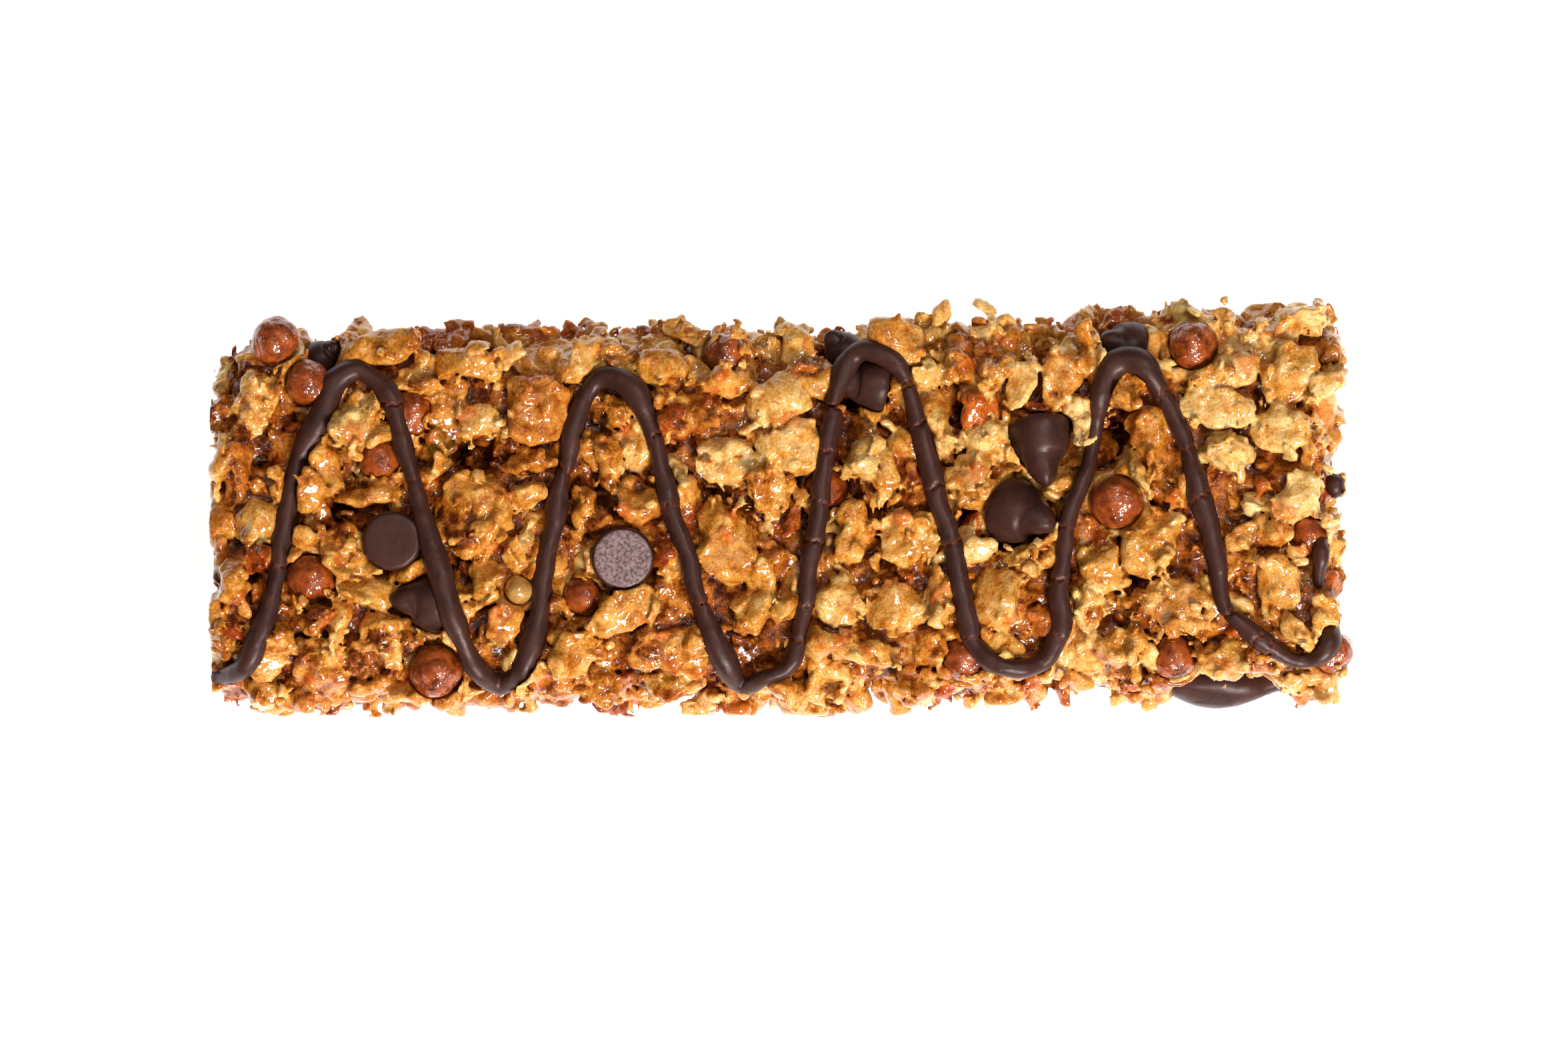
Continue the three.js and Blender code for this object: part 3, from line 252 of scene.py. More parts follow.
class Grid:
    """Evenly spaced samples of a box, in millimetres."""

    def __init__(self, low, high, step):
        self.low = np.array(low, np.float32)
        self.step = step
        counts = np.ceil((np.array(high) - np.array(low)) / step).astype(int) + 1
        self.axes = [(low[i] + step * np.arange(counts[i])).astype(np.float32) for i in range(3)]
        self.shape = tuple(counts)

    def block(self, centre, reach):
        """The slices of samples that lie within reach of a point."""
        slices = []
        for axis in range(3):
            first = int(math.ceil((centre[axis] - reach - self.low[axis]) / self.step))
            last = int(math.floor((centre[axis] + reach - self.low[axis]) / self.step)) + 1
            slices.append(slice(max(first, 0), max(min(last, self.shape[axis]), 0)))
        return tuple(slices)

    def offsets(self, slices, centre):
        """Distances along each axis from a point to the samples of a block, ready to broadcast."""
        x, y, z = [self.axes[i][slices[i]] - np.float32(centre[i]) for i in range(3)]
        return x[:, None, None], y[None, :, None], z[None, None, :]

    def around(self, centre, reach):
        """The slices of the samples within reach of a point, and their offsets from it."""
        slices = self.block(centre, reach)
        return slices, *self.offsets(slices, centre)

    def ball(self, centre, radius, reach):
        """The slices of the samples within reach of a point, and their distances to a ball there."""
        slices, x, y, z = self.around(centre, reach)
        return slices, np.sqrt(x * x + y * y + z * z) - np.float32(radius)

    def nearest(self, points):
        """The index of the sample nearest to each point."""
        index = np.rint((points - self.low) / self.step).astype(np.int64)
        return tuple(np.clip(index[:, i], 0, self.shape[i] - 1) for i in range(3))


def spread_noise(grid, size, seed):
    """Smooth noise from -1 to 1 at every sample of the grid. It changes over the given length."""
    counts = [int((axis[-1] - axis[0]) / size) + 3 for axis in grid.axes]
    values = np.random.default_rng(seed).uniform(-1, 1, counts).astype(np.float32)
    for i, axis in enumerate(grid.axes):
        place = (axis - axis[0]) / size
        low = place.astype(int)
        shape = [1, 1, 1]
        shape[i] = -1
        share = ease(place - low).reshape(shape).astype(np.float32)
        values = np.take(values, low, i) * (1 - share) + np.take(values, low + 1, i) * share
    return values


HASH_SIZE = 4096
HASH_FACTORS = np.array([73856093, 19349663, 83492791], np.uint32)
CELL_TABLE = np.random.default_rng(3).random((HASH_SIZE, 4)).astype(np.float32)


def cells(points, size, seed):
    """Scattered cells: the distance to the nearest centre and to the next, in cell sizes, and a
    number from 0 to 1 that belongs to the nearest."""
    scaled = (points / size).astype(np.float32)
    base = np.floor(scaled)
    whole = base.astype(np.int32)
    first = np.full(len(points), 9, np.float32)
    second = first.copy()
    own = np.zeros(len(points), np.float32)
    for step in np.ndindex(3, 3, 3):
        cell = whole + (np.array(step, np.int32) - 1)
        key = cell.astype(np.uint32) * HASH_FACTORS
        key = (key[:, 0] ^ key[:, 1] ^ key[:, 2] ^ np.uint32(seed * 7919)) % HASH_SIZE
        entry = CELL_TABLE[key]
        away = np.sqrt(((cell + entry[:, :3] - scaled) ** 2).sum(1))
        nearer = away < first
        second = np.where(nearer, first, np.minimum(second, away))
        own = np.where(nearer, entry[:, 3], own)
        first = np.where(nearer, away, first)
    return first, second, own


# ---- Distance fields ---------------------------------------------------------------------


def read_rows(items, name, kind=np.float32):
    """Three numbers of each item of a mesh."""
    values = np.empty(3 * len(items), kind)
    items.foreach_get(name, values)
    return values.reshape(-1, 3)


def in_mm(box):
    """The lowest and highest corner of a CAD node's box, in millimetres."""
    return [np.array(corner) / MM for corner in box]


def solid_arrays(name):
    """Points in millimetres and triangles of a CAD node."""
    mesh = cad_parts[name].data
    mesh.calc_loop_triangles()
    return read_rows(mesh.vertices, "co") / MM, read_rows(mesh.loop_triangles, "vertices", np.int32)


def solid_field(name, grid, reach):
    """The distance from every sample to the surface of a CAD node, below 0 inside, up to a reach."""
    points, triangles = solid_arrays(name)
    band = reach / grid.step
    levels = openvdb.FloatGrid.createLevelSetFromPolygons(
        np.ascontiguousarray(points - grid.low),
        triangles=triangles.astype(np.uint32),
        transform=openvdb.createLinearTransform(voxelSize=grid.step),
        exBandWidth=band,
        inBandWidth=band,
    )
    field = np.empty(grid.shape, np.float32)
    levels.copyToArray(field)
    return field


def blend_in(field, slices, distance, blend):
    """Adds a piece to a field, joined by a fillet."""
    old = field[slices]
    near = np.maximum(blend - np.abs(old - distance), 0)
    field[slices] = np.minimum(old, distance) - near * near / (4 * blend)


def turn_matrix(out, turn, lean=(0, 0)):
    """Axes of a piece whose Z points out, turned about it by degrees. Each column is one axis."""
    facing = Vector((out[0] + lean[0], out[1] + lean[1], out[2])).normalized()
    lay = Vector((0, 0, 1)).rotation_difference(facing)
    spin = Quaternion((0, 0, 1), math.radians(turn))
    return np.array((lay @ spin).to_matrix(), np.float32)


def height_map(field, grid):
    """The height of the highest surface over each x and y."""
    solid = field < 0
    top = solid.shape[2] - 1 - np.argmax(solid[:, :, ::-1], axis=2)
    return np.where(solid.any(axis=2), grid.axes[2][top], grid.low[2])


# ---- Granola -----------------------------------------------------------------------------


def squarish_distance(signed, half):
    """The distance to a squarish ellipsoid from offsets given as shares of its half sizes."""
    power = np.float32(PIECE_SQUARE)
    shares = [np.abs(side) + 1e-4 for side in signed]
    near = sum(share**power for share in shares) ** (1 / power)
    steep = sum((share / near) ** (2 * power - 2) / size**2 for share, size in zip(shares, half))
    return (near - 1) / np.sqrt(steep)


class Heap:
    """The field of the granola, with the piece that each sample belongs to."""

    def __init__(self, grid):
        self.grid = grid
        self.solid = solid_field("granola_mass", grid, 1.8)
        self.field = self.solid + CORE_SINK
        for n, (size, amount) in enumerate(CORE_CRUMPLE):
            self.field += amount * spread_noise(grid, size, 40 + n)
        self.next = np.full(grid.shape, 2.0, np.float32)  # the distance to the next nearest piece
        self.large = np.full(grid.shape, 9.0, np.float32)
        self.owner = np.zeros(grid.shape, np.int16)
        self.tones = [CORE_TONE]
        self.tints = [CORE_TINT]
        self.kinds = ["binder"]
        self.rng = np.random.default_rng(17)
        self.warped = [np.zeros(grid.shape, np.float32) for _ in range(3)]
        for n, (size, amount) in enumerate(WARPS):
            for axis in range(3):
                self.warped[axis] += amount * spread_noise(grid, size, 20 + 3 * n + axis)

    def add(self, kind, centre, half, axes, blend, tone, tint, bend=0.0):
        """Fuses a lumpy ellipsoid of the given half sizes to the heap."""
        slices, *offsets = self.grid.around(centre, max(half) + blend + 0.8)
        if min(self.field[slices].shape) == 0:
            return
        much = min(1.0, float(min(half)) / WARPED_FROM)
        x, y, z = [side + much * warp[slices] for side, warp in zip(offsets, self.warped)]
        u, v, w = [axes[0, i] * x + axes[1, i] * y + axes[2, i] * z for i in range(3)]
        w = w + bend * (u * u / half[0] - 0.4 * half[0])
        signed = [side / size for side, size in zip((u, v, w), half)]
        distance = squarish_distance(signed, half)
        for facing in self.rng.normal(size=(CUTS[kind], 3)):
            facing /= np.linalg.norm(facing)
            flat = sum(side * np.float32(part) for side, part in zip(signed, facing))
            flat = (flat - self.rng.uniform(*CUT_AT)) / np.float32(np.linalg.norm(facing / half))
            distance = np.maximum(distance, flat)
        self.next[slices] = np.minimum(self.next[slices], np.maximum(self.field[slices], distance))
        if kind in ("flake", "lump", "grain"):
            self.large[slices] = np.minimum(self.large[slices], distance)
        taken = distance < self.field[slices]
        self.owner[slices][taken] = len(self.tones)
        self.tones.append(tone)
        self.tints.append(tint)
        self.kinds.append(kind)
        blend_in(self.field, slices, distance, blend)


def evened_top(heap):
    """The height of the top over each x and y, evened out over a few millimetres, and a share from
    0 near the edges of the bar to 1 inland."""
    top = height_map(heap.solid, heap.grid)[:, :, None]
    reach = int(round(EVENED_OVER / heap.grid.step))
    solid = (top > LOWEST_TOP).astype(np.float32)
    around = blurred(solid, reach)
    evened = blurred(top * solid, reach) / np.maximum(around, 1e-3)
    return evened[:, :, 0], np.clip((around[:, :, 0] - 0.75) / 0.2, 0, 1)


def add_large_pieces(heap):
    """The clusters and flakes that have a place of their own on the top."""
    top = height_map(heap.solid, heap.grid)
    rng = np.random.default_rng(SPREAD_SEED)
    for x, y, length, width, turn, tone, tint, *named in LARGE_PIECES:
        kind = named[0] if named else "lump"
        thick = FLAKE_THICK if kind == "flake" else LUMP_THICK[0] + LUMP_THICK[1] * width
        around = heap.grid.block((x, y, 0), 0.4 * width)
        height = float(np.median(top[around[0], around[1]]))
        lean = PIECE_LEAN * rng.uniform(-1, 1, 2)
        centre = (x, y, height - LARGE_SUNK * thick)
        half = (0.5 * length, 0.5 * width, 0.5 * thick)
        bend = PIECE_BEND * rng.uniform(-1, 1)
        heap.add(kind, centre, half, turn_matrix((0, 0, 1), turn, lean), 0.2, tone, tint, bend)


def spread_spots(name, count, rng):
    """Points on the faces of a CAD node with their outward directions, spread by area."""
    points, triangles = solid_arrays(name)
    a, b, c = [points[triangles[:, i]] for i in range(3)]
    normals = np.cross(b - a, c - a)
    areas = np.linalg.norm(normals, axis=1)
    picked = rng.choice(len(areas), count, p=areas / areas.sum())
    s, t = rng.random((2, count, 1))
    folded = s + t > 1
    s, t = np.where(folded, 1 - s, s), np.where(folded, 1 - t, t)
    a, b, c = a[picked], b[picked], c[picked]
    return a + s * (b - a) + t * (c - a), normals[picked] / areas[picked, None]


def piece_tone(rng):
    """A tone and a tint for a piece by chance: mostly golden, some pale, some brown or orange."""
    tone = float(np.clip(rng.normal(0.7, 0.13), 0.3, 0.98))
    chance = rng.random()
    if chance < 0.08:
        return 0.5, float(rng.uniform(0.5, 1.0))
    if chance < 0.12:
        return tone, float(rng.uniform(-0.7, -0.3))
    return tone, float(rng.uniform(-0.1, 0.25))


def piece_sizes(rule, rng):
    """Length, width and thickness by chance."""
    length = rng.uniform(*rule["length"])
    width = length * rng.uniform(*rule["flat"])
    return length, width, rule["thick"] * width


def spread_pieces(heap, kind, rule, kept_off):
    """Pieces by chance on the solid's faces, but not where one is to be kept off."""
    rng = np.random.default_rng(SPREAD_SEED + rule["count"])
    places, facings = spread_spots("granola_mass", rule["count"], rng)
    evened, inland = evened_top(heap)
    for place, facing in zip(places, facings):
        i, j, _ = heap.grid.nearest(place[None])
        depth = max(0.0, float(evened[i[0], j[0]] - place[2])) * float(inland[i[0], j[0]])
        length, width, thick = piece_sizes(rule, rng)
        tone, tint = piece_tone(rng)
        lean = SPREAD_LEAN * rng.uniform(-1, 1, 3)
        turn = rng.uniform(0, 360)
        by_large = float(heap.large[heap.grid.nearest(place[None])][0]) < BY_LARGE * length
        crowded = rng.random() < rule["skipped"] and by_large
        if crowded or kept_off(place, thick) or facing[2] < LOWEST_FACING:
            continue
        # painted shade: pieces that lie deeper under the evened top are painted darker
        tone = max(0.06, tone - PAINTED_SHADE_BY_DEPTH * depth)
        half = (0.5 * length, 0.5 * width, 0.5 * thick)
        centre = place - facing * (rule["sunk"] * thick)
        sort = "pale_crisp" if kind == "crisp" and tone > PALE_FROM else kind
        heap.add(sort, centre, half, turn_matrix(facing + lean, turn), rule["blend"], tone, tint)


def spread_bits(heap, kept_off):
    """Small angular bits on the skin of what lies there already."""
    points = surface_of(heap.field, heap.grid)[0]
    rng = np.random.default_rng(SPREAD_SEED + BITS["count"])
    for place in points[rng.integers(0, len(points), BITS["count"])]:
        i, j, k = [int(n[0]) for n in heap.grid.nearest(place[None])]
        around = heap.field[i - 1 : i + 2, j - 1 : j + 2, k - 1 : k + 2]
        length, width, thick = piece_sizes(BITS, rng)
        lean = BITS["lean"] * rng.uniform(-1, 1, 3)
        turn = rng.uniform(0, 360)
        tone = float(rng.normal(0, 0.08))
        chance = rng.random()
        if around.shape != (3, 3, 3) or kept_off(place, 0):
            continue
        rises = [around[2, 1, 1] - around[0, 1, 1], around[1, 2, 1] - around[1, 0, 1]]
        facing = np.array([*rises, around[1, 1, 2] - around[1, 1, 0]])
        facing = facing / (np.linalg.norm(facing) + 1e-6)
        if facing[2] < 0.3 and chance < BITS["skipped_on_sides"]:
            continue
        below = heap.owner[heap.grid.nearest((place - 0.5 * heap.grid.step * facing)[None])][0]
        tone = float(np.clip(heap.tones[below] + tone, 0.05, 0.98))
        half = (0.5 * length, 0.5 * width, 0.5 * thick)
        centre = place - facing * (BITS["sunk"] * thick)
        axes = turn_matrix(facing + lean, turn)
        heap.add("bit", centre, half, axes, BITS["blend"], tone, heap.tints[below])


def seams(heap, near):
    """1 where two pieces meet, falling to 0 away from there."""
    return np.exp(-(((heap.next[near] - heap.field[near]) / SEAM_WIDTH) ** 2))


def add_relief(heap):
    """Crumbly relief of two sizes on everything near the surface, and grooves between pieces."""
    near = np.nonzero(np.abs(heap.field) < RELIEF_BAND)
    grooves = SEAM_DEPTH * seams(heap, near)
    points = np.stack([heap.grid.axes[i][near[i]] for i in range(3)], axis=1)
    relief = np.zeros(len(points), np.float32)
    for n, (size, height) in enumerate([CELL_COARSE, CELL_FINE]):
        first, _, own = cells(points, size, 5 + n)
        swell = 1 - ease(np.clip(first / 0.85, 0, 1))
        relief += height * (swell * (0.35 + 1.1 * own) - 0.42)
    heap.next[near] += grooves - relief
    heap.field[near] += grooves - relief


def cut_off(field, grid, low, high):
    """Cuts a field off at the planes of a box."""
    for axis, values in enumerate(grid.axes):
        shape = [1, 1, 1]
        shape[axis] = -1
        place = values.reshape(shape)
        np.maximum(field, place - high[axis], out=field)
        np.maximum(field, low[axis] - place, out=field)


def keep_inside(heap):
    """Keeps the granola within the solid's box and off the coat."""
    low, high = BOX[0] + GRANOLA_INSET, BOX[1] - GRANOLA_INSET
    node_low, node_high = in_mm(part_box("granola_mass"))
    low[0] = max(low[0], node_low[0])
    high[0] = min(high[0], node_high[0] + 0.1)
    low[2] = heap.bottom = node_low[2] - 0.15
    np.maximum(heap.field, COAT_GAP - solid_field("chocolate_base", heap.grid, 1.0), out=heap.field)
    cut_off(heap.field, heap.grid, low, high)


def close_hollows(heap):
    """Fills the hollows between pieces that can't be seen into along any axis."""
    air = heap.field > 0
    open_air = np.zeros(air.shape, bool)
    for axis in range(3):
        open_air |= np.logical_and.accumulate(air, axis=axis)
        open_air |= np.flip(np.logical_and.accumulate(np.flip(air, axis), axis=axis), axis)
    for _ in range(int(1.2 / heap.grid.step)):
        for axis in range(3):
            near = np.roll(open_air, 1, axis) | np.roll(open_air, -1, axis)
            open_air |= near & air
    heap.field[air & ~open_air] = -0.2


def uncover(field, distance):
    """Takes away what stands above a shape, given the distances to it over a block of the field."""
    closest = distance.min(axis=2, keepdims=True)
    above = np.arange(distance.shape[2])[None, None, :] >= distance.argmin(axis=2)[:, :, None]
    return np.where(above, np.maximum(field, PIECE_GAP - closest), field)


def keep_clear_of_round(heap, centre, radius, open_above):
    """Sets a round piece into the heap: a bed under it, and room for it above."""
    slices, x, y, z = heap.grid.around(centre, radius + 1.5)
    distance = np.sqrt(x * x + y * y + z * z) - np.float32(radius)
    bed = np.maximum(distance - BED_THICK, z + 0.25 * radius)
    bed = np.maximum(bed, heap.solid[slices] - BED_PROUD)
    blend_in(heap.field, slices, bed, 0.3)
    heap.field[slices] = np.maximum(heap.field[slices], PIECE_GAP - distance)
    if open_above:
        heap.field[slices] = uncover(heap.field[slices], distance)


def blurred(values, reach):
    """Values evened out over a box of 2*reach+1 samples a side."""
    result = values.astype(np.float32)
    for axis in range(3):
        size = result.shape[axis]
        if size == 1:
            continue
        sums = np.cumsum(result, axis=axis, dtype=np.float64)
        zero = np.zeros_like(np.take(sums, [0], axis))
        sums = np.concatenate([zero, sums], axis=axis)
        place = np.arange(size)
        high = np.minimum(place + reach + 1, size)
        low = np.maximum(place - reach, 0)
        within = np.take(sums, high, axis) - np.take(sums, low, axis)
        result = (within / (2 * reach + 1)).astype(np.float32)
    return result


# ---- Meshes ------------------------------------------------------------------------------


def surface_of(field, grid):
    """The surface of a field: its points in millimetres, and its triangles and quads."""
    levels = openvdb.FloatGrid(1.0)
    levels.copyFromArray(np.clip(field, -1, 1))
    levels.transform = openvdb.createLinearTransform(voxelSize=grid.step)
    points, triangles, quads = levels.convertToPolygons(0.0, THINNED)
    return points + grid.low, [faces[:, ::-1].astype(np.int32) for faces in (triangles, quads)]


def mesh_object(name, points, groups):
    """A smooth mesh object from points in millimetres and arrays of faces."""
    mesh = bpy.data.meshes.new(name)
    groups = [faces for faces in groups if len(faces)]
    corners = np.concatenate([faces.reshape(-1) for faces in groups]).astype(np.int32)
    sizes = np.concatenate([np.full(len(faces), faces.shape[1], np.int32) for faces in groups])
    starts = np.concatenate([[0], np.cumsum(sizes)[:-1]]).astype(np.int32)
    mesh.vertices.add(len(points))
    mesh.vertices.foreach_set("co", (points * MM).astype(np.float32).reshape(-1))
    mesh.loops.add(len(corners))
    mesh.loops.foreach_set("vertex_index", corners)
    mesh.polygons.add(len(sizes))
    mesh.polygons.foreach_set("loop_start", starts)
    mesh.update(calc_edges=True)
    mesh.shade_smooth()
    thing = bpy.data.objects.new(name, mesh)
    bpy.context.collection.objects.link(thing)
    return thing


def store(mesh, name, values):
    """Keeps one or three numbers from 0 to 1 a vertex, for a material to read."""
    layer = mesh.attributes.new(name, "FLOAT_COLOR", "POINT")
    colours = np.ones((len(values), 4), np.float32)
    colours[:, :3] = values.reshape(len(values), -1)
    layer.data.foreach_set("color", colours.reshape(-1))


# ---- Strands of chocolate ----------------------------------------------------------------


def smooth_route(points, step):
    """Points every step along a smooth curve through the given rows of numbers."""
    rows = np.array(points, np.float64)
    rows = np.concatenate([[2 * rows[0] - rows[1]], rows, [2 * rows[-1] - rows[-2]]])
    found = []
    for n in range(1, len(rows) - 2):
        before, here, there, after = rows[n - 1 : n + 3]
        count = max(2, int(np.linalg.norm(there[:3] - here[:3]) / step))
        t = (np.arange(count) / count)[:, None]
        found.append(
            0.5 * (2 * here + (there - before) * t + (2 * before - 5 * here + 4 * there - after) * t**2
                   + (3 * here - before - 3 * there + after) * t**3)
        )
    return np.concatenate(found + [rows[-2:-1]])


def strand_field(field, grid, route):
    """Adds a strand to a field, deeper than it is wide. Each row of the route is x, y, z, width."""
    for x, y, z, width in route:
        radius = 0.5 * width
        for drop, share in ((0.0, 1.0), STRAND_KEEL):
            slices, distance = grid.ball((x, y, z - drop * width), share * radius, radius + 1.0)
            field[slices] = np.minimum(field[slices], distance)


def wander(count, lengths, seed):
    """Smooth noise along a strand, one number for each of its samples."""
    rng = np.random.default_rng(seed)
    result = np.zeros(count)
    for size, amount in lengths:
        place = np.arange(count) * STRAND_STEP / size
        values = rng.uniform(-1, 1, int(place[-1]) + 2)
        share = ease(place - place.astype(int))
        low = place.astype(int)
        result += amount * (values[low] * (1 - share) + values[low + 1] * share)
    return result


def strand_routes(top, grid):
    """The drizzle and the strip by the right cut, with heights from the solid."""
    routes = []
    for n, flat in enumerate((DRIZZLE_ROUTE, RIGHT_STRIP)):
        rows = []
        for x, y, width in flat:
            i, j, _ = grid.nearest(np.array([[x, y, 0]]))
            patch = top[max(i[0] - 1, 0) : i[0] + 2, max(j[0] - 1, 0) : j[0] + 2]
            rows.append((x, y, float(np.median(patch)) - 0.5 * width, width))
        route = smooth_route(rows, STRAND_STEP)
        for axis in (0, 1):
            route[:, axis] += wander(len(route), STRAND_WOBBLE, 70 + 10 * n + axis)
        route[:, 3] *= STRAND_SLIM + wander(len(route), [[2.2, STRAND_SWELL]], 90 + n)
        routes.append(route)
    return routes


def clear_above_strands(heap, routes):
    """Takes away what stands above a strand, and what reaches far into it."""
    for x, y, z, width in np.concatenate([np.concatenate(routes)[::2], [RIGHT_DROP]]):
        radius = 0.5 * width
        slices = heap.grid.block((x, y, z + radius), 1.5 * width)
        dx, dy, dz = heap.grid.offsets(slices, (x, y, z))
        across = np.sqrt(dx * dx + dy * dy)
        column = np.maximum(across - 0.85 * radius, -dz + 0 * across)
        inside = np.sqrt(across * across + dz * dz) - 0.75 * radius
        heap.field[slices] = np.maximum(heap.field[slices], -np.minimum(column, inside))


def chocolate_field(grid, routes):
    """All strands, and the drop on the right cut."""
    field = np.full(grid.shape, 1.0, np.float32)
    for route in routes:
        strand_field(field, grid, route)
    *centre, thick = RIGHT_DROP
    slices, drop = grid.ball(centre, 0.5 * thick, thick)
    field[slices] = np.minimum(field[slices], drop)
    return field


# ---- Materials ---------------------------------------------------------------------------


def linear(*screen):
    """A colour as shaders take it, from its values on a screen, 0 to 255."""
    shares = [value / 255 for value in screen]
    return (*[s / 12.92 if s <= 0.04045 else ((s + 0.055) / 1.055) ** 2.4 for s in shares], 1.0)


class Paint:
    """A material under construction."""

    def __init__(self, name):
        self.material = bpy.data.materials.new(name)
        self.material.use_nodes = True
        self.nodes = self.material.node_tree.nodes
        self.links = self.material.node_tree.links
        self.shader = self.nodes["Principled BSDF"]
        self.place = self.nodes.new("ShaderNodeTexCoord").outputs["Object"]

    def plug(self, source, socket):
        """Sets a socket to a number or to a screen colour, or links it to another's output."""
        if isinstance(source, tuple):
            socket.default_value = linear(*source)
        elif isinstance(source, (int, float)):
            socket.default_value = source
        else:
            self.links.new(source, socket)

    def node(self, kind, output, sockets, **settings):
        """The output of a new node, with its settings made and its sockets plugged."""
        node = self.nodes.new("ShaderNode" + kind)
        for name, value in settings.items():
            setattr(node, name, value)
        for name, source in sockets.items():
            self.plug(source, node.inputs[name])
        return node.outputs[output]

    def math(self, operation, first, second, clamp=False):
        return self.node("Math", 0, {0: first, 1: second}, operation=operation, use_clamp=clamp)

    def noise(self, per_mm, detail=3.0, roughness=0.55):
        scale = {"Scale": per_mm / MM, "Detail": detail, "Roughness": roughness}
        return self.node("TexNoise", "Fac", {"Vector": self.place, **scale})

    def mix(self, share, first, second, how="MIX"):
        sockets = {"Factor": share, "A": first, "B": second}
        return self.node("Mix", "Result", sockets, data_type="RGBA", blend_type=how)

    def between(self, source, low, high, to_low=0.0, to_high=1.0):
        """A number stretched from low and high to two others."""
        ends = {"From Min": low, "From Max": high, "To Min": to_low, "To Max": to_high}
        return self.node("MapRange", "Result", {"Value": source, **ends})

    def ramp(self, source, stops):
        """Screen colours for a number. Each stop is the number at it, red, green and blue."""
        node = self.nodes.new("ShaderNodeValToRGB")
        self.links.new(source, node.inputs[0])
        elements = node.color_ramp.elements
        while len(elements) < len(stops):
            elements.new(0.5)
        for element, (place, *colour) in zip(elements, stops):
            element.position = place
            element.color = linear(*colour)
        return node.outputs[0]

    def stored(self, name):
        """Three numbers stored with the vertices."""
        node = self.nodes.new("ShaderNodeSeparateColor")
        self.links.new(self.node("Attribute", "Color", {}, attribute_name=name), node.inputs[0])
        return node.outputs[:3]

    def bump(self, height, distance_mm, strength=1.0, into="Normal"):
        sockets = {"Height": height, "Strength": strength, "Distance": distance_mm * MM}
        self.links.new(self.node("Bump", "Normal", sockets), self.shader.inputs[into])

    def colour(self, source):
        self.links.new(source, self.shader.inputs["Base Color"])

    def rough(self, source):
        self.links.new(source, self.shader.inputs["Roughness"])

    def set(self, **values):
        for name, value in values.items():
            self.shader.inputs[name.replace("_", " ")].default_value = value


def granola_material(name):
    """Toasted cereal under syrup: its colour by tone, tint and painted shade, and a glaze where it is
    wet, weaker under the painted shade.
    """
    paint = Paint(name)
    tone, tint, painted_shade = paint.stored("crumb")
    grain = paint.noise(1.1, 3, 0.6)
    coarse = paint.between(grain, 0.3, 0.7, -0.19, 0.19)
    fine = paint.between(paint.noise(4.5, 2, 0.6), 0.3, 0.7, -0.12, 0.12)
    tone = paint.math("ADD", tone, paint.math("ADD", coarse, fine), clamp=True)
    golden = paint.ramp(tone, [
        (0.0, 42, 14, 4), (0.2, 108, 46, 10), (0.42, 166, 93, 25),
        (0.62, 198, 134, 53), (0.8, 216, 166, 92), (1.0, 232, 200, 142),
    ])
    orange = paint.ramp(tone, [
        (0.0, 50, 14, 4), (0.4, 142, 54, 14), (0.7, 188, 88, 26), (1.0, 214, 130, 56),
    ])
    green = paint.ramp(tone, [(0.0, 48, 30, 8), (0.5, 156, 112, 40), (1.0, 214, 184, 108)])
    warm = paint.mix(paint.between(tint, 0.55, 1.0), golden, orange)
    mixed = paint.mix(paint.between(tint, 0.45, 0.0), warm, green)
    flecks = paint.between(paint.noise(1.5, 2, 0.6), 0.58, 0.7, 0.0, 0.55)
    mixed = paint.mix(flecks, mixed, (150, 66, 16))
    toasted = paint.between(paint.noise(0.55, 3, 0.65), 0.56, 0.7, 0.0, 0.5)
    mixed = paint.mix(toasted, mixed, (136, 72, 26))
    # painted shade: the colour is darkened towards this brown by the shade stored with the vertices
    dark = paint.mix(1.0, mixed, (132, 70, 30), "MULTIPLY")
    paint.colour(paint.mix(painted_shade, mixed, dark))
    paint.rough(paint.between(grain, 0.3, 0.7, 0.34, 0.55))
    paint.bump(paint.noise(2.4, 2, 0.6), 0.14, 0.8)
    paint.bump(paint.noise(1.3, 1, 0.5), 0.2, 0.9, "Coat Normal")
    # the glaze is weaker under the painted shade, so its reflections are dimmer in the creases and gaps
    outside_painted_shade = paint.between(painted_shade, 0.0, 1.0, 1.0, 0.4)
    wet = paint.math("MULTIPLY", outside_painted_shade, paint.between(tone, 0.15, 0.5, 0.35, 1.0))
    paint.plug(wet, paint.shader.inputs["Coat Weight"])
    paint.set(Coat_Roughness=0.05, Coat_IOR=1.48, Coat_Tint=(1.0, 0.9, 0.7, 1.0))
    paint.set(Specular_IOR_Level=0.12)
    paint.set(Subsurface_Weight=0.2, Subsurface_Scale=0.6 * MM, Subsurface_Radius=(1.0, 0.5, 0.2))
    return paint.material


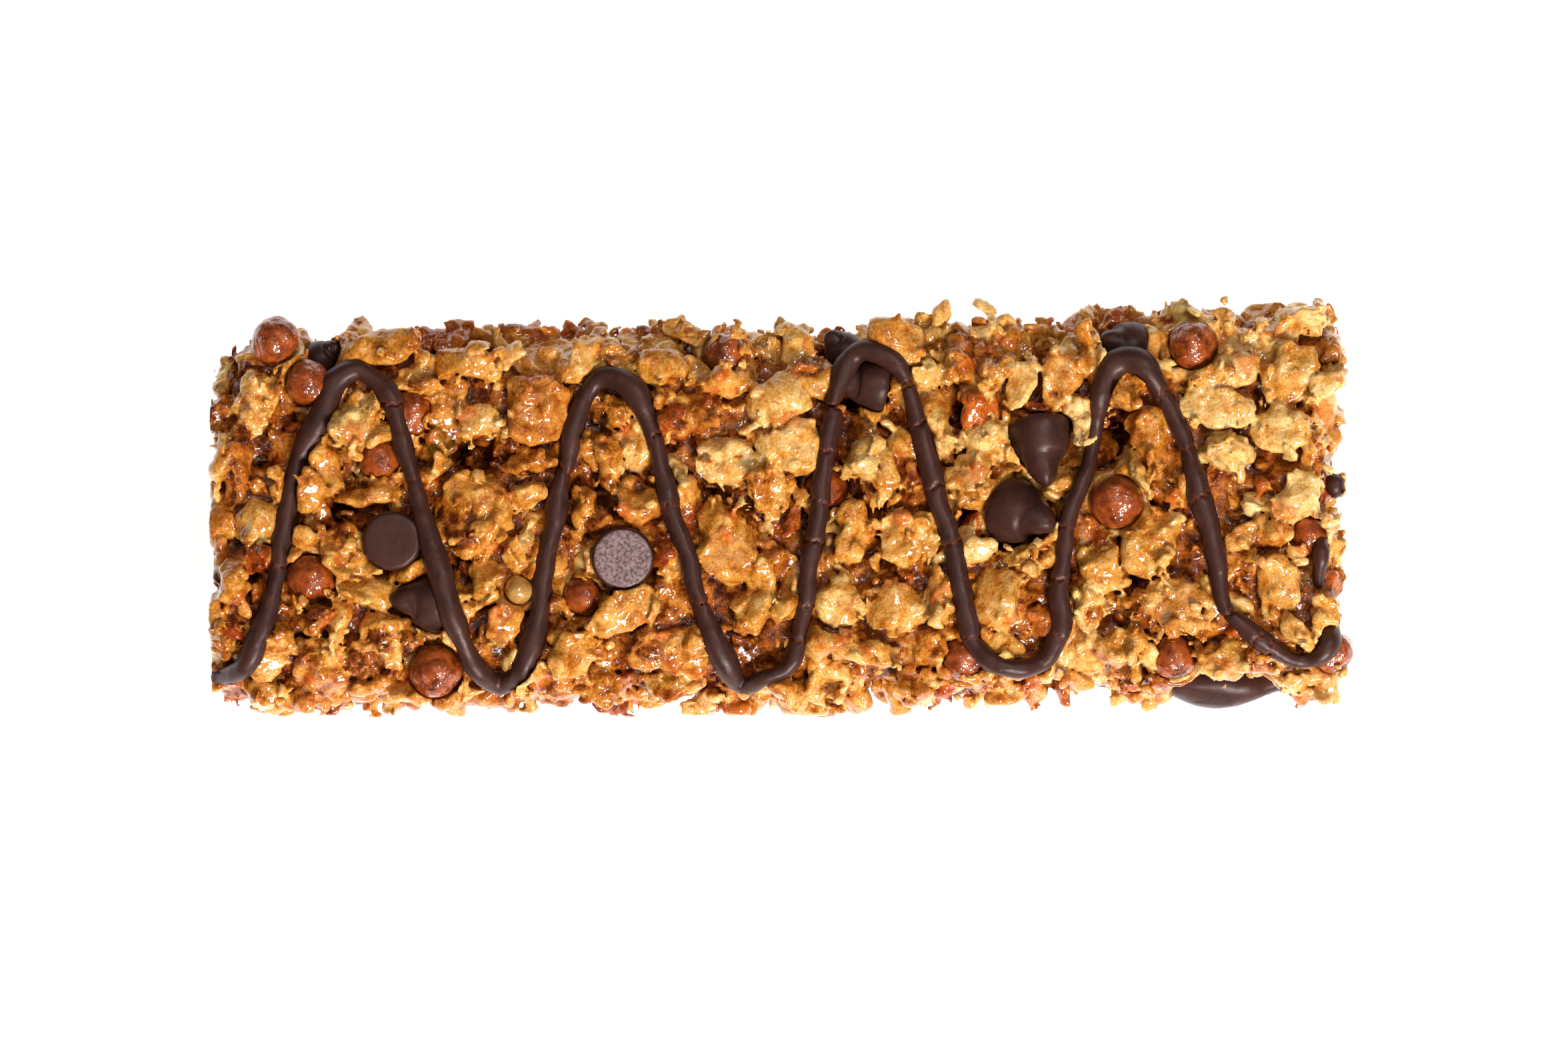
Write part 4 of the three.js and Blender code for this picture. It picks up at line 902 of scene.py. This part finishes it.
def chocolate_material(name, bloom=0.0, cracked=False):
    """Satin dark chocolate with a little dust: with bloom on a chip's base, or with rusty cracks."""
    paint = Paint(name)
    dust = paint.noise(5.0, 2, 0.6)
    base = paint.ramp(paint.noise(0.5, 3, 0.5), [(0.3, 47, 25, 20), (0.7, 64, 35, 28)])
    look = paint.mix(paint.between(dust, 0.66, 0.74, 0.0, 0.5), base, (120, 66, 44))
    if bloom:
        speckled = paint.between(paint.noise(3.4, 3, 0.7), 0.38, 0.62, 0.1, bloom)
        pale = paint.math("MULTIPLY", speckled, paint.stored("face")[0])
        look = paint.mix(pale, look, (160, 136, 135))
    if cracked:
        dusty = paint.between(dust, 0.4, 0.6, 0.1, 0.7)
        look = paint.mix(paint.math("MULTIPLY", paint.stored("crack")[0], dusty), look, (104, 46, 28))
    paint.colour(look)
    paint.rough(paint.between(paint.noise(1.2, 3), 0.3, 0.7, 0.36, 0.46))
    paint.bump(paint.noise(1.8, 3, 0.5), 0.05, 0.5)
    paint.set(Specular_IOR_Level=0.3, Specular_Tint=(1.0, 0.8, 0.76, 1.0))
    return paint.material


def crisp_material(name):
    """Glazed red-brown cocoa crisps."""
    paint = Paint(name)
    cloudy = paint.noise(0.9, 4, 0.6)
    base = paint.ramp(cloudy, [(0.3, 70, 24, 7), (0.5, 136, 58, 18), (0.7, 170, 86, 32)])
    dust = paint.between(paint.noise(4.0, 3, 0.6), 0.55, 0.7, 0.0, 0.35)
    paint.colour(paint.mix(dust, base, (184, 106, 48)))
    paint.rough(paint.between(cloudy, 0.3, 0.7, 0.34, 0.5))
    paint.bump(paint.noise(2.4, 4, 0.6), 0.12, 0.6)
    paint.bump(paint.noise(1.0, 2, 0.6), 0.45, 0.9, "Coat Normal")
    paint.set(Coat_Weight=0.95, Coat_Roughness=0.05, Coat_Tint=(1.0, 0.93, 0.8, 1.0))
    paint.set(Specular_IOR_Level=0.2, Subsurface_Weight=0.06, Subsurface_Scale=0.5 * MM)
    return paint.material


def bead_material(name):
    """A bead of pale syrup."""
    paint = Paint(name)
    paint.colour(paint.ramp(paint.noise(0.8, 3), [(0.3, 154, 100, 36), (0.7, 194, 150, 80)]))
    paint.rough(paint.between(paint.noise(2.0, 2), 0.3, 0.7, 0.2, 0.35))
    paint.bump(paint.noise(1.4, 2), 0.08, 0.5)
    paint.set(Coat_Weight=0.9, Coat_Roughness=0.06)
    paint.set(Subsurface_Weight=0.7, Subsurface_Scale=1.2 * MM, Subsurface_Radius=(1.0, 0.7, 0.3))
    return paint.material


# ---- Building the pieces -----------------------------------------------------------------


def dress(thing, material, slot, *nodes):
    """Gives a piece its look and its body, and hides the CAD nodes that it replaces. The slot is not
    used.
    """
    thing.data.materials.clear()
    thing.data.materials.append(material)
    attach(thing, "root")
    if nodes:
        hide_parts(*nodes)


def round_pieces():
    """Middle and radius in millimetres of each round crisp and the bead."""
    found = {}
    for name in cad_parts:
        if name.startswith("ball_") or name == "amber_bead":
            low, high = in_mm(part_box(name))
            found[name] = (0.5 * (low + high), 0.25 * float((high - low)[:2].sum()))
    return found


def chip_frame(name):
    """The place of a chip's lathe, its radius, and its axes: the tip leans towards the first."""
    x, y, rise, radius, tall, axis, curl = CHIPS[name]
    along = Vector(axis).normalized()
    side = along.cross(Vector(curl)).normalized()
    centre = np.array([x, y, SLAB_TOP + rise]) - CHIP_SUNK * radius * np.array(along)
    return centre, radius, tall, np.array([side.cross(along), side, along], np.float32).T


def chip_line():
    """The bent middle line of a chip: its place, thickness and slant, in shares of the radius."""
    widths, heights = np.array(CHIP_PROFILE[::-1]).T
    rows = []
    for height in np.linspace(CHIP_FLOOR, CHIP_TOP, 40):
        angle = max(0.0, height - CURL_FROM) / CURL_BEND
        rise = CURL_FROM + CURL_BEND * math.sin(angle) if angle else height
        width = np.interp(height, heights, widths)
        rows.append((CURL_BEND * (1 - math.cos(angle)), rise, width, angle))
    return rows


def lean_on_rounds(heap, rounds):
    """Bits that lean on the shoulders of the rounds and cover parts of them."""
    rng = np.random.default_rng(31)
    for name, (centre, radius) in rounds.items():
        for _ in range(0 if name in OPEN_ROUNDS else RIM_BITS):
            angle = rng.uniform(0, 2 * math.pi)
            away = radius * rng.uniform(0.85, 1.1)
            rise = radius * rng.uniform(0.25, 0.55)
            spot = centre + np.array([away * math.cos(angle), away * math.sin(angle), rise])
            half = 0.5 * rng.uniform(0.9, 1.0) * np.array(RIM_BIT_SIZE)
            facing = np.array([math.cos(angle), math.sin(angle), 1.0])
            lean = 0.3 * rng.uniform(-1, 1, 3)
            axes = turn_matrix(facing + lean, rng.uniform(0, 360))
            heap.add("crumb", spot, half, axes, 0.15, float(rng.uniform(0.5, 0.8)), 0.1)


def keep_clear_of_chip(heap, name):
    """Sets a chip into the heap: a stack of discs along its bent middle line is taken out."""
    centre, radius, tall, axes = chip_frame(name)
    slices, x, y, z = heap.grid.around(centre, 1.5 * tall * radius + 0.5)
    u, v, w = [(axes[0, i] * x + axes[1, i] * y + axes[2, i] * z) / radius for i in range(3)]
    w = np.where(w > 0, w / tall, w)
    distance = np.full(u.shape, 9.0, np.float32)
    for lean, rise, width, angle in chip_line():
        across = np.sqrt(((u - lean) * math.cos(angle) - (w - rise) * math.sin(angle)) ** 2 + v * v)
        along = np.abs((u - lean) * math.sin(angle) + (w - rise) * math.cos(angle))
        disc = np.maximum(0.8 * (across - width), along - 0.03)
        distance = np.minimum(distance, radius * disc)
    heap.field[slices] = uncover(np.maximum(heap.field[slices], PIECE_GAP - distance), distance)


def under_chocolate(track):
    """A test for places that a strand lies over, or, for large pieces, that the puddle shows in."""

    def test(place, thick):
        if thick > 0 and PUDDLE_ZONE[0] < place[0] < PUDDLE_ZONE[1] and place[1] < PUDDLE_ZONE[2]:
            return True
        away = np.linalg.norm(track[:, :3] - place, axis=1)
        above = place[2] > track[:, 2] - 0.1 * track[:, 3]
        return bool(((away < 0.5 * track[:, 3] + 0.5) & above).any())

    return test


def build_granola():
    """The heap with all its pieces, cut free of everything else, and the routes of the strands."""
    pad = 0.6
    low, high = in_mm(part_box("granola_mass"))
    heap = Heap(Grid(low - pad, np.minimum(high + pad, BOX[1] + pad), GRANOLA_STEP))
    routes = strand_routes(height_map(heap.solid, heap.grid), heap.grid)
    rounds = round_pieces()
    kept_off = under_chocolate(np.concatenate([np.concatenate(routes)[::4], [RIGHT_DROP]]))
    add_large_pieces(heap)
    spread_pieces(heap, "crisp", MEDIUM, kept_off)
    spread_pieces(heap, "crumb", SMALL, kept_off)
    lean_on_rounds(heap, rounds)
    spread_bits(heap, kept_off)
    add_relief(heap)
    for name, (centre, radius) in rounds.items():
        keep_clear_of_round(heap, centre, radius, name in UNCOVERED_ROUNDS)
    for name in CHIPS:
        keep_clear_of_chip(heap, name)
    clear_above_strands(heap, routes)
    keep_inside(heap)
    close_hollows(heap)
    return heap, routes


def crumb_numbers(heap, points, spot):
    """Tone, tint and painted shade of each vertex, from the sample at its spot."""
    owner = heap.owner[spot]
    first, second, own = cells(points, CELL_COARSE[0], 5)
    fine_own = cells(points, CELL_FINE[0], 6)[2]
    tone = np.array(heap.tones, np.float32)[owner]
    tone = tone + TONE_OF_CELLS[0] * (own - 0.5) + TONE_OF_CELLS[1] * (fine_own - 0.5)
    tint = np.array(heap.tints, np.float32)[owner]
    tint = np.where(own > ORANGE_CELLS, np.maximum(tint, 0.8), tint)
    evened, inland = [values[spot[0], spot[1]] for values in evened_top(heap)]
    depth = np.clip(evened - points[:, 2] - 0.5, 0, 3) * inland
    # painted shade: deeper spots are painted darker; along the seams between pieces the tone is darker
    # too, partly the syrup's own dark joints and partly painted shade in their grooves
    tone = tone - PAINTED_SHADE_BY_DEPTH * depth - 0.08 * seams(heap, spot)
    # painted light: the tone is lighter towards the right end and darker towards the left
    tone = tone + TONE_LIFT_AND_PAINTED_LIGHT[0] + TONE_LIFT_AND_PAINTED_LIGHT[1] * points[:, 0] / BOX[1][0]
    # painted shade: darker where much granola crowds round a spot and in the creases between cells, less
    # near the bar's edges
    full = heap.field < 0
    near, wide = [blurred(full, int(round(reach / heap.grid.step)))[spot] for reach in PAINTED_SHADE_REACH]
    crease = np.clip(1 - (second - first) / 0.2, 0, 1)
    painted_shade = np.clip(2.2 * (near - 0.6), 0, 1) + np.clip(2.6 * (wide - 0.66), 0, 1) + 0.15 * crease
    painted_shade = painted_shade * (0.55 + 0.45 * inland)
    return np.clip(np.stack([tone, 0.5 + 0.5 * tint, painted_shade], axis=1), 0, 1)


OBJECT_OF = {
    "binder": "granola_binder", "flake": "granola_flakes", "lump": "granola_flakes",
    "grain": "granola_flakes", "crisp": "granola_crisps", "pale_crisp": "granola_pale_crisps",
    "crumb": "granola_crumbs", "bit": "granola_bits",
}


def split_by_kind(heap):
    """One object for each kind of granola piece, shaded as one surface."""
    points, groups = surface_of(heap.field, heap.grid)
    whole = mesh_object("whole", points, groups)
    normals = read_rows(whole.data.vertex_normals, "vector")
    bpy.data.objects.remove(whole)
    spot = heap.grid.nearest(points - normals * (0.3 * heap.grid.step))
    numbers = crumb_numbers(heap, points, spot)
    names = list(dict.fromkeys(OBJECT_OF.values()))
    code = np.array([names.index(OBJECT_OF[kind]) for kind in heap.kinds])[heap.owner[spot]]
    unseen = points[:, 2] < heap.bottom + 0.3
    things = []
    for n, name in enumerate(names):
        kept = [faces[(code[faces[:, 0]] == n) & ~unseen[faces].all(axis=1)] for faces in groups]
        used = np.unique(np.concatenate([faces.reshape(-1) for faces in kept]))
        renumber = np.full(len(points), -1, np.int32)
        renumber[used] = np.arange(len(used))
        thing = mesh_object(name, points[used], [renumber[faces] for faces in kept])
        thing.data.normals_split_custom_set_from_vertices(normals[used].tolist())
        store(thing.data, "crumb", numbers[used])
        things.append(thing)
    return things


def build_drizzle(routes):
    """The drizzle and the chocolate on the right cut, with its cracks."""
    pad = 1.2
    track = np.concatenate(routes)
    low = np.maximum(track[:, :3].min(0) - pad, BOX[0] - 0.3)
    high = np.minimum(track[:, :3].max(0) + pad, BOX[1] + 0.3)
    grid = Grid(low, high, CHOCOLATE_STEP)
    field = chocolate_field(grid, routes)
    field -= 0.09 * spread_noise(grid, 1.9, 51) + 0.04 * spread_noise(grid, 0.8, 52)
    cut_cracks(field, grid, routes[0])
    cut_off(field, grid, BOX[0] + DRIZZLE_INSET, BOX[1] - DRIZZLE_INSET)
    points, groups = surface_of(field, grid)
    thing = mesh_object("chocolate_drizzle", points, groups)
    store(thing.data, "crack", crack_numbers(points, routes[0]))
    return thing


def crack_planes(route):
    """Middle, direction and width of each crack, and a number that makes its waves its own."""
    rng = np.random.default_rng(23)
    for x, y, width in CRACKS:
        n = int(np.argmin((route[:, 0] - x) ** 2 + (route[:, 1] - y) ** 2))
        n = min(max(n, 2), len(route) - 3)
        along = route[n + 2, :3] - route[n - 2, :3]
        along[2] *= 0.3
        along = along / np.linalg.norm(along)
        skew = rng.uniform(-0.45, 0.45)
        across = np.array([-along[1], along[0], 0])
        facing = along + skew * across
        yield route[n], facing / np.linalg.norm(facing), width, rng.uniform(0, 40)


def crack_offset(dx, dy, dz, facing, seed):
    """How far points lie from a crack's wavy plane, along the strand."""
    wave = 0.12 * np.sin(3.1 * dx + 4.7 * dy + seed)
    ripple = 0.06 * np.sin(9.0 * dx - 7.0 * dy + 5.0 * dz + seed)
    return facing[0] * dx + facing[1] * dy + facing[2] * dz + (wave + ripple)


def cut_cracks(field, grid, route):
    """Cuts thin cracks into a strand's skin, and gaps where it broke."""
    for (x, y, z, thick), facing, width, seed in crack_planes(route):
        slices, dx, dy, dz = grid.around((x, y, z), 0.8 * thick + 0.4)
        away = np.abs(crack_offset(dx, dy, dz, facing, seed)) - 0.4 * width
        depth = CRACK_DEPTH if width < BREAK_WIDTH else 2.0
        cut = np.maximum(away, -depth - field[slices])
        field[slices] = np.maximum(field[slices], -cut)


def crack_numbers(points, route):
    """How near each vertex is to a crack, from 0 to 1."""
    near = np.zeros(len(points), np.float32)
    for (x, y, z, thick), facing, width, seed in crack_planes(route):
        dx, dy, dz = (points - np.array([x, y, z])).T
        offset = crack_offset(dx, dy, dz, facing, seed)
        close = (dx * dx + dy * dy + dz * dz) < (0.75 * thick + 0.3) ** 2
        near = np.maximum(near, close * np.exp(-((offset / (0.5 * width + 0.07)) ** 2)))
    return near


def build_coat():
    """The chocolate coat, with a soft rim that has crept up the granola a little."""
    low, high = in_mm(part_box("chocolate_base"))
    grid = Grid(low - 1, high + 1, COAT_STEP)
    field = blurred(solid_field("chocolate_base", grid, 1.5), 1)
    z = grid.axes[2]
    level = int(np.searchsorted(z, COAT_THICK - 0.7))
    creep = COAT_THICK + COAT_CREEP[0] + COAT_CREEP[1] * spread_noise(grid, 3.0, 61)
    walls = field[:, :, level : level + 1] + 0.15 * np.clip(z - z[level], 0, None) ** 2
    field = np.where(z > z[level], np.minimum(field, np.maximum(walls, z - creep)), field)
    np.maximum(field, 0.02 - z, out=field)
    return mesh_object("chocolate_coat", *surface_of(field.astype(np.float32), grid))


def build_chip(name):
    """A chip turned from its profile, with its tip bent over and a slightly uneven skin."""
    centre, radius, tall, axes = chip_frame(name)
    rings = smooth_profile(CHIP_PROFILE)
    angles = 2 * np.pi * np.arange(CHIP_SIDES) / CHIP_SIDES
    out, up = rings[:, :1], rings[:, 1:] + 0 * angles
    points = np.stack([out * np.cos(angles), out * np.sin(angles), up], axis=2).reshape(-1, 3)
    turn = np.clip(points[:, 2] - CURL_FROM, 0, None) / CURL_BEND
    outward = CURL_BEND - points[:, 0]
    across, height = CURL_BEND - outward * np.cos(turn), CURL_FROM + outward * np.sin(turn)
    bent = np.stack([across, points[:, 1], height], axis=1)
    points = np.where(turn[:, None] > 0, bent, points)
    points[:, 2] *= np.where(points[:, 2] > 0, tall, 1)
    on_base = points[:, 2] < CHIP_FLOOR + 0.03
    rim = np.clip((0.93 - np.hypot(points[:, 0], points[:, 1])) / 0.06, 0, 1)
    skin = points[:, 2] > CHIP_FLOOR + 0.02
    dent = 0.025 * (0.5 - cells(points * radius + 9 * centre, 1.3, 12)[0]) * skin
    points = points * (radius * (1 + dent))[:, None]
    faces = lathe_faces(len(rings), CHIP_SIDES)
    thing = mesh_object(name + "_shape", points @ axes.T + centre, [faces])
    store(thing.data, "face", on_base * rim)
    return thing


def lathe_faces(rings, sides):
    """The four-cornered faces between rings of points."""
    row = np.arange(rings - 1)[:, None] * sides
    column = np.arange(sides)[None, :]
    after = (column + 1) % sides
    faces = np.stack([row + column, row + sides + column, row + sides + after, row + after], axis=2)
    return faces.reshape(-1, 4).astype(np.int32)


def smooth_profile(profile):
    """The profile with its points eased into a curve, three for each one."""
    rows = np.array(profile, float)
    fine = np.linspace(0, len(rows) - 1, 3 * (len(rows) - 1) + 1)
    eased = [np.interp(fine, np.arange(len(rows)), rows[:, i]) for i in (0, 1)]
    for values in eased:
        values[1:-1] = 0.25 * values[:-2] + 0.5 * values[1:-1] + 0.25 * values[2:]
    return np.stack(eased, axis=1)


def build_round(name, centre, radius, rng):
    """A lumpy round crisp or bead."""
    bpy.ops.mesh.primitive_ico_sphere_add(subdivisions=5, radius=1)
    thing = bpy.context.object
    thing.name = name + "_shape"
    points = read_rows(thing.data.vertices, "co")
    uneven = 0
    for n, (size, height) in enumerate(ROUND_LUMPS):
        uneven = uneven + height * (0.5 - cells(points + rng.uniform(0, 50, 3), size, 9 + n)[0])
    points = points * (radius * (0.97 + uneven))[:, None] + centre
    thing.data.vertices.foreach_set("co", (points * MM).astype(np.float32).reshape(-1))
    thing.data.shade_smooth()
    return thing


# ---- Stage -------------------------------------------------------------------------------

LOOK_AT = Vector((0.1, -2.01, 16)) * MM  # in the middle of the picture
TILT = math.radians(4)  # of the camera towards the front
DISTANCE = 560 * MM
PICTURE_WIDTH = 2352  # in pixels
PIXELS_PER_MM = 17.23  # at the top of the bar
FLOOR_GLOW = 0.85
WORLD_GLOW = 0.07
# Place, size and power of each lamp.
LAMPS = {
    "key": [(210, -470, 490), (270, 200), 8.0],
    "top": [(-60, 80, 760), (500, 400), 0.8],
    "sparkle": [(240, 170, 640), (120, 120), 1.15],
}


def build_stage():
    bpy.ops.mesh.primitive_plane_add(size=3)
    floor = bpy.context.object
    floor.name = "floor"
    paint = Paint("pale_floor")
    paint.colour(paint.ramp(paint.noise(0.02, 2), [(0.4, 239, 239, 239), (0.6, 241, 241, 241)]))
    paint.set(Roughness=0.8, Specular_IOR_Level=0.1)
    paint.set(Emission_Color=(1, 1, 1, 1), Emission_Strength=FLOOR_GLOW)
    floor.data.materials.append(paint.material)


def area_light(name, place_mm, size_mm, power):
    data = bpy.data.lights.new(name, "AREA")
    data.shape = "RECTANGLE"
    data.size, data.size_y = [s * MM for s in size_mm]
    data.energy = power
    lamp = bpy.data.objects.new(name, data)
    lamp.location = Vector(place_mm) * MM
    lamp.rotation_euler = (LOOK_AT - lamp.location).to_track_quat("-Z", "Y").to_euler()
    bpy.context.collection.objects.link(lamp)


def build_lights():
    for name, lamp in LAMPS.items():
        area_light(name, *lamp)
    world = bpy.data.worlds.new("studio")
    bpy.context.scene.world = world
    world.use_nodes = True
    background = world.node_tree.nodes["Background"].inputs
    background["Color"].default_value = (1, 1, 1, 1)
    background["Strength"].default_value = WORLD_GLOW
    bpy.context.scene.view_settings.view_transform = "Standard"


def build_camera():
    data = bpy.data.cameras.new("camera")
    data.sensor_width = 36
    data.lens = data.sensor_width * DISTANCE / (PICTURE_WIDTH / PIXELS_PER_MM * MM)
    camera = bpy.data.objects.new("camera", data)
    camera.location = LOOK_AT + DISTANCE * Vector((0, -math.sin(TILT), math.cos(TILT)))
    camera.rotation_euler = (LOOK_AT - camera.location).to_track_quat("-Z", "Y").to_euler()
    bpy.context.collection.objects.link(camera)
    bpy.context.scene.camera = camera


# ---- The bar -----------------------------------------------------------------------------


def build_bar():
    """Every piece of the bar, dressed."""
    heap, routes = build_granola()
    granola = granola_material("glazed_granola")
    for n, thing in enumerate(split_by_kind(heap)):
        dress(thing, granola, "granola", *(["granola_mass"] if n == 0 else []))
    chocolate = chocolate_material("dark_chocolate")
    bloomed = chocolate_material("bloomed_chocolate", bloom=0.7)
    cracked = chocolate_material("cracked_chocolate", cracked=True)
    dress(build_drizzle(routes), cracked, "chocolate_coat")
    dress(build_coat(), chocolate, "chocolate_coat", "chocolate_base")
    for name in CHIPS:
        look = bloomed if name == "chip_pale_disc" else chocolate
        dress(build_chip(name), look, "chocolate_chip", name)
    crisp = crisp_material("cocoa_crisp")
    bead = bead_material("amber_bead")
    rng = np.random.default_rng(11)
    for name, (centre, radius) in round_pieces().items():
        thing = build_round(name, centre, radius, rng)
        if name == "amber_bead":
            dress(thing, bead, "amber_bead", name)
        else:
            dress(thing, crisp, "cocoa_crisp", name)


build_bar()
build_stage()
build_lights()
build_camera()
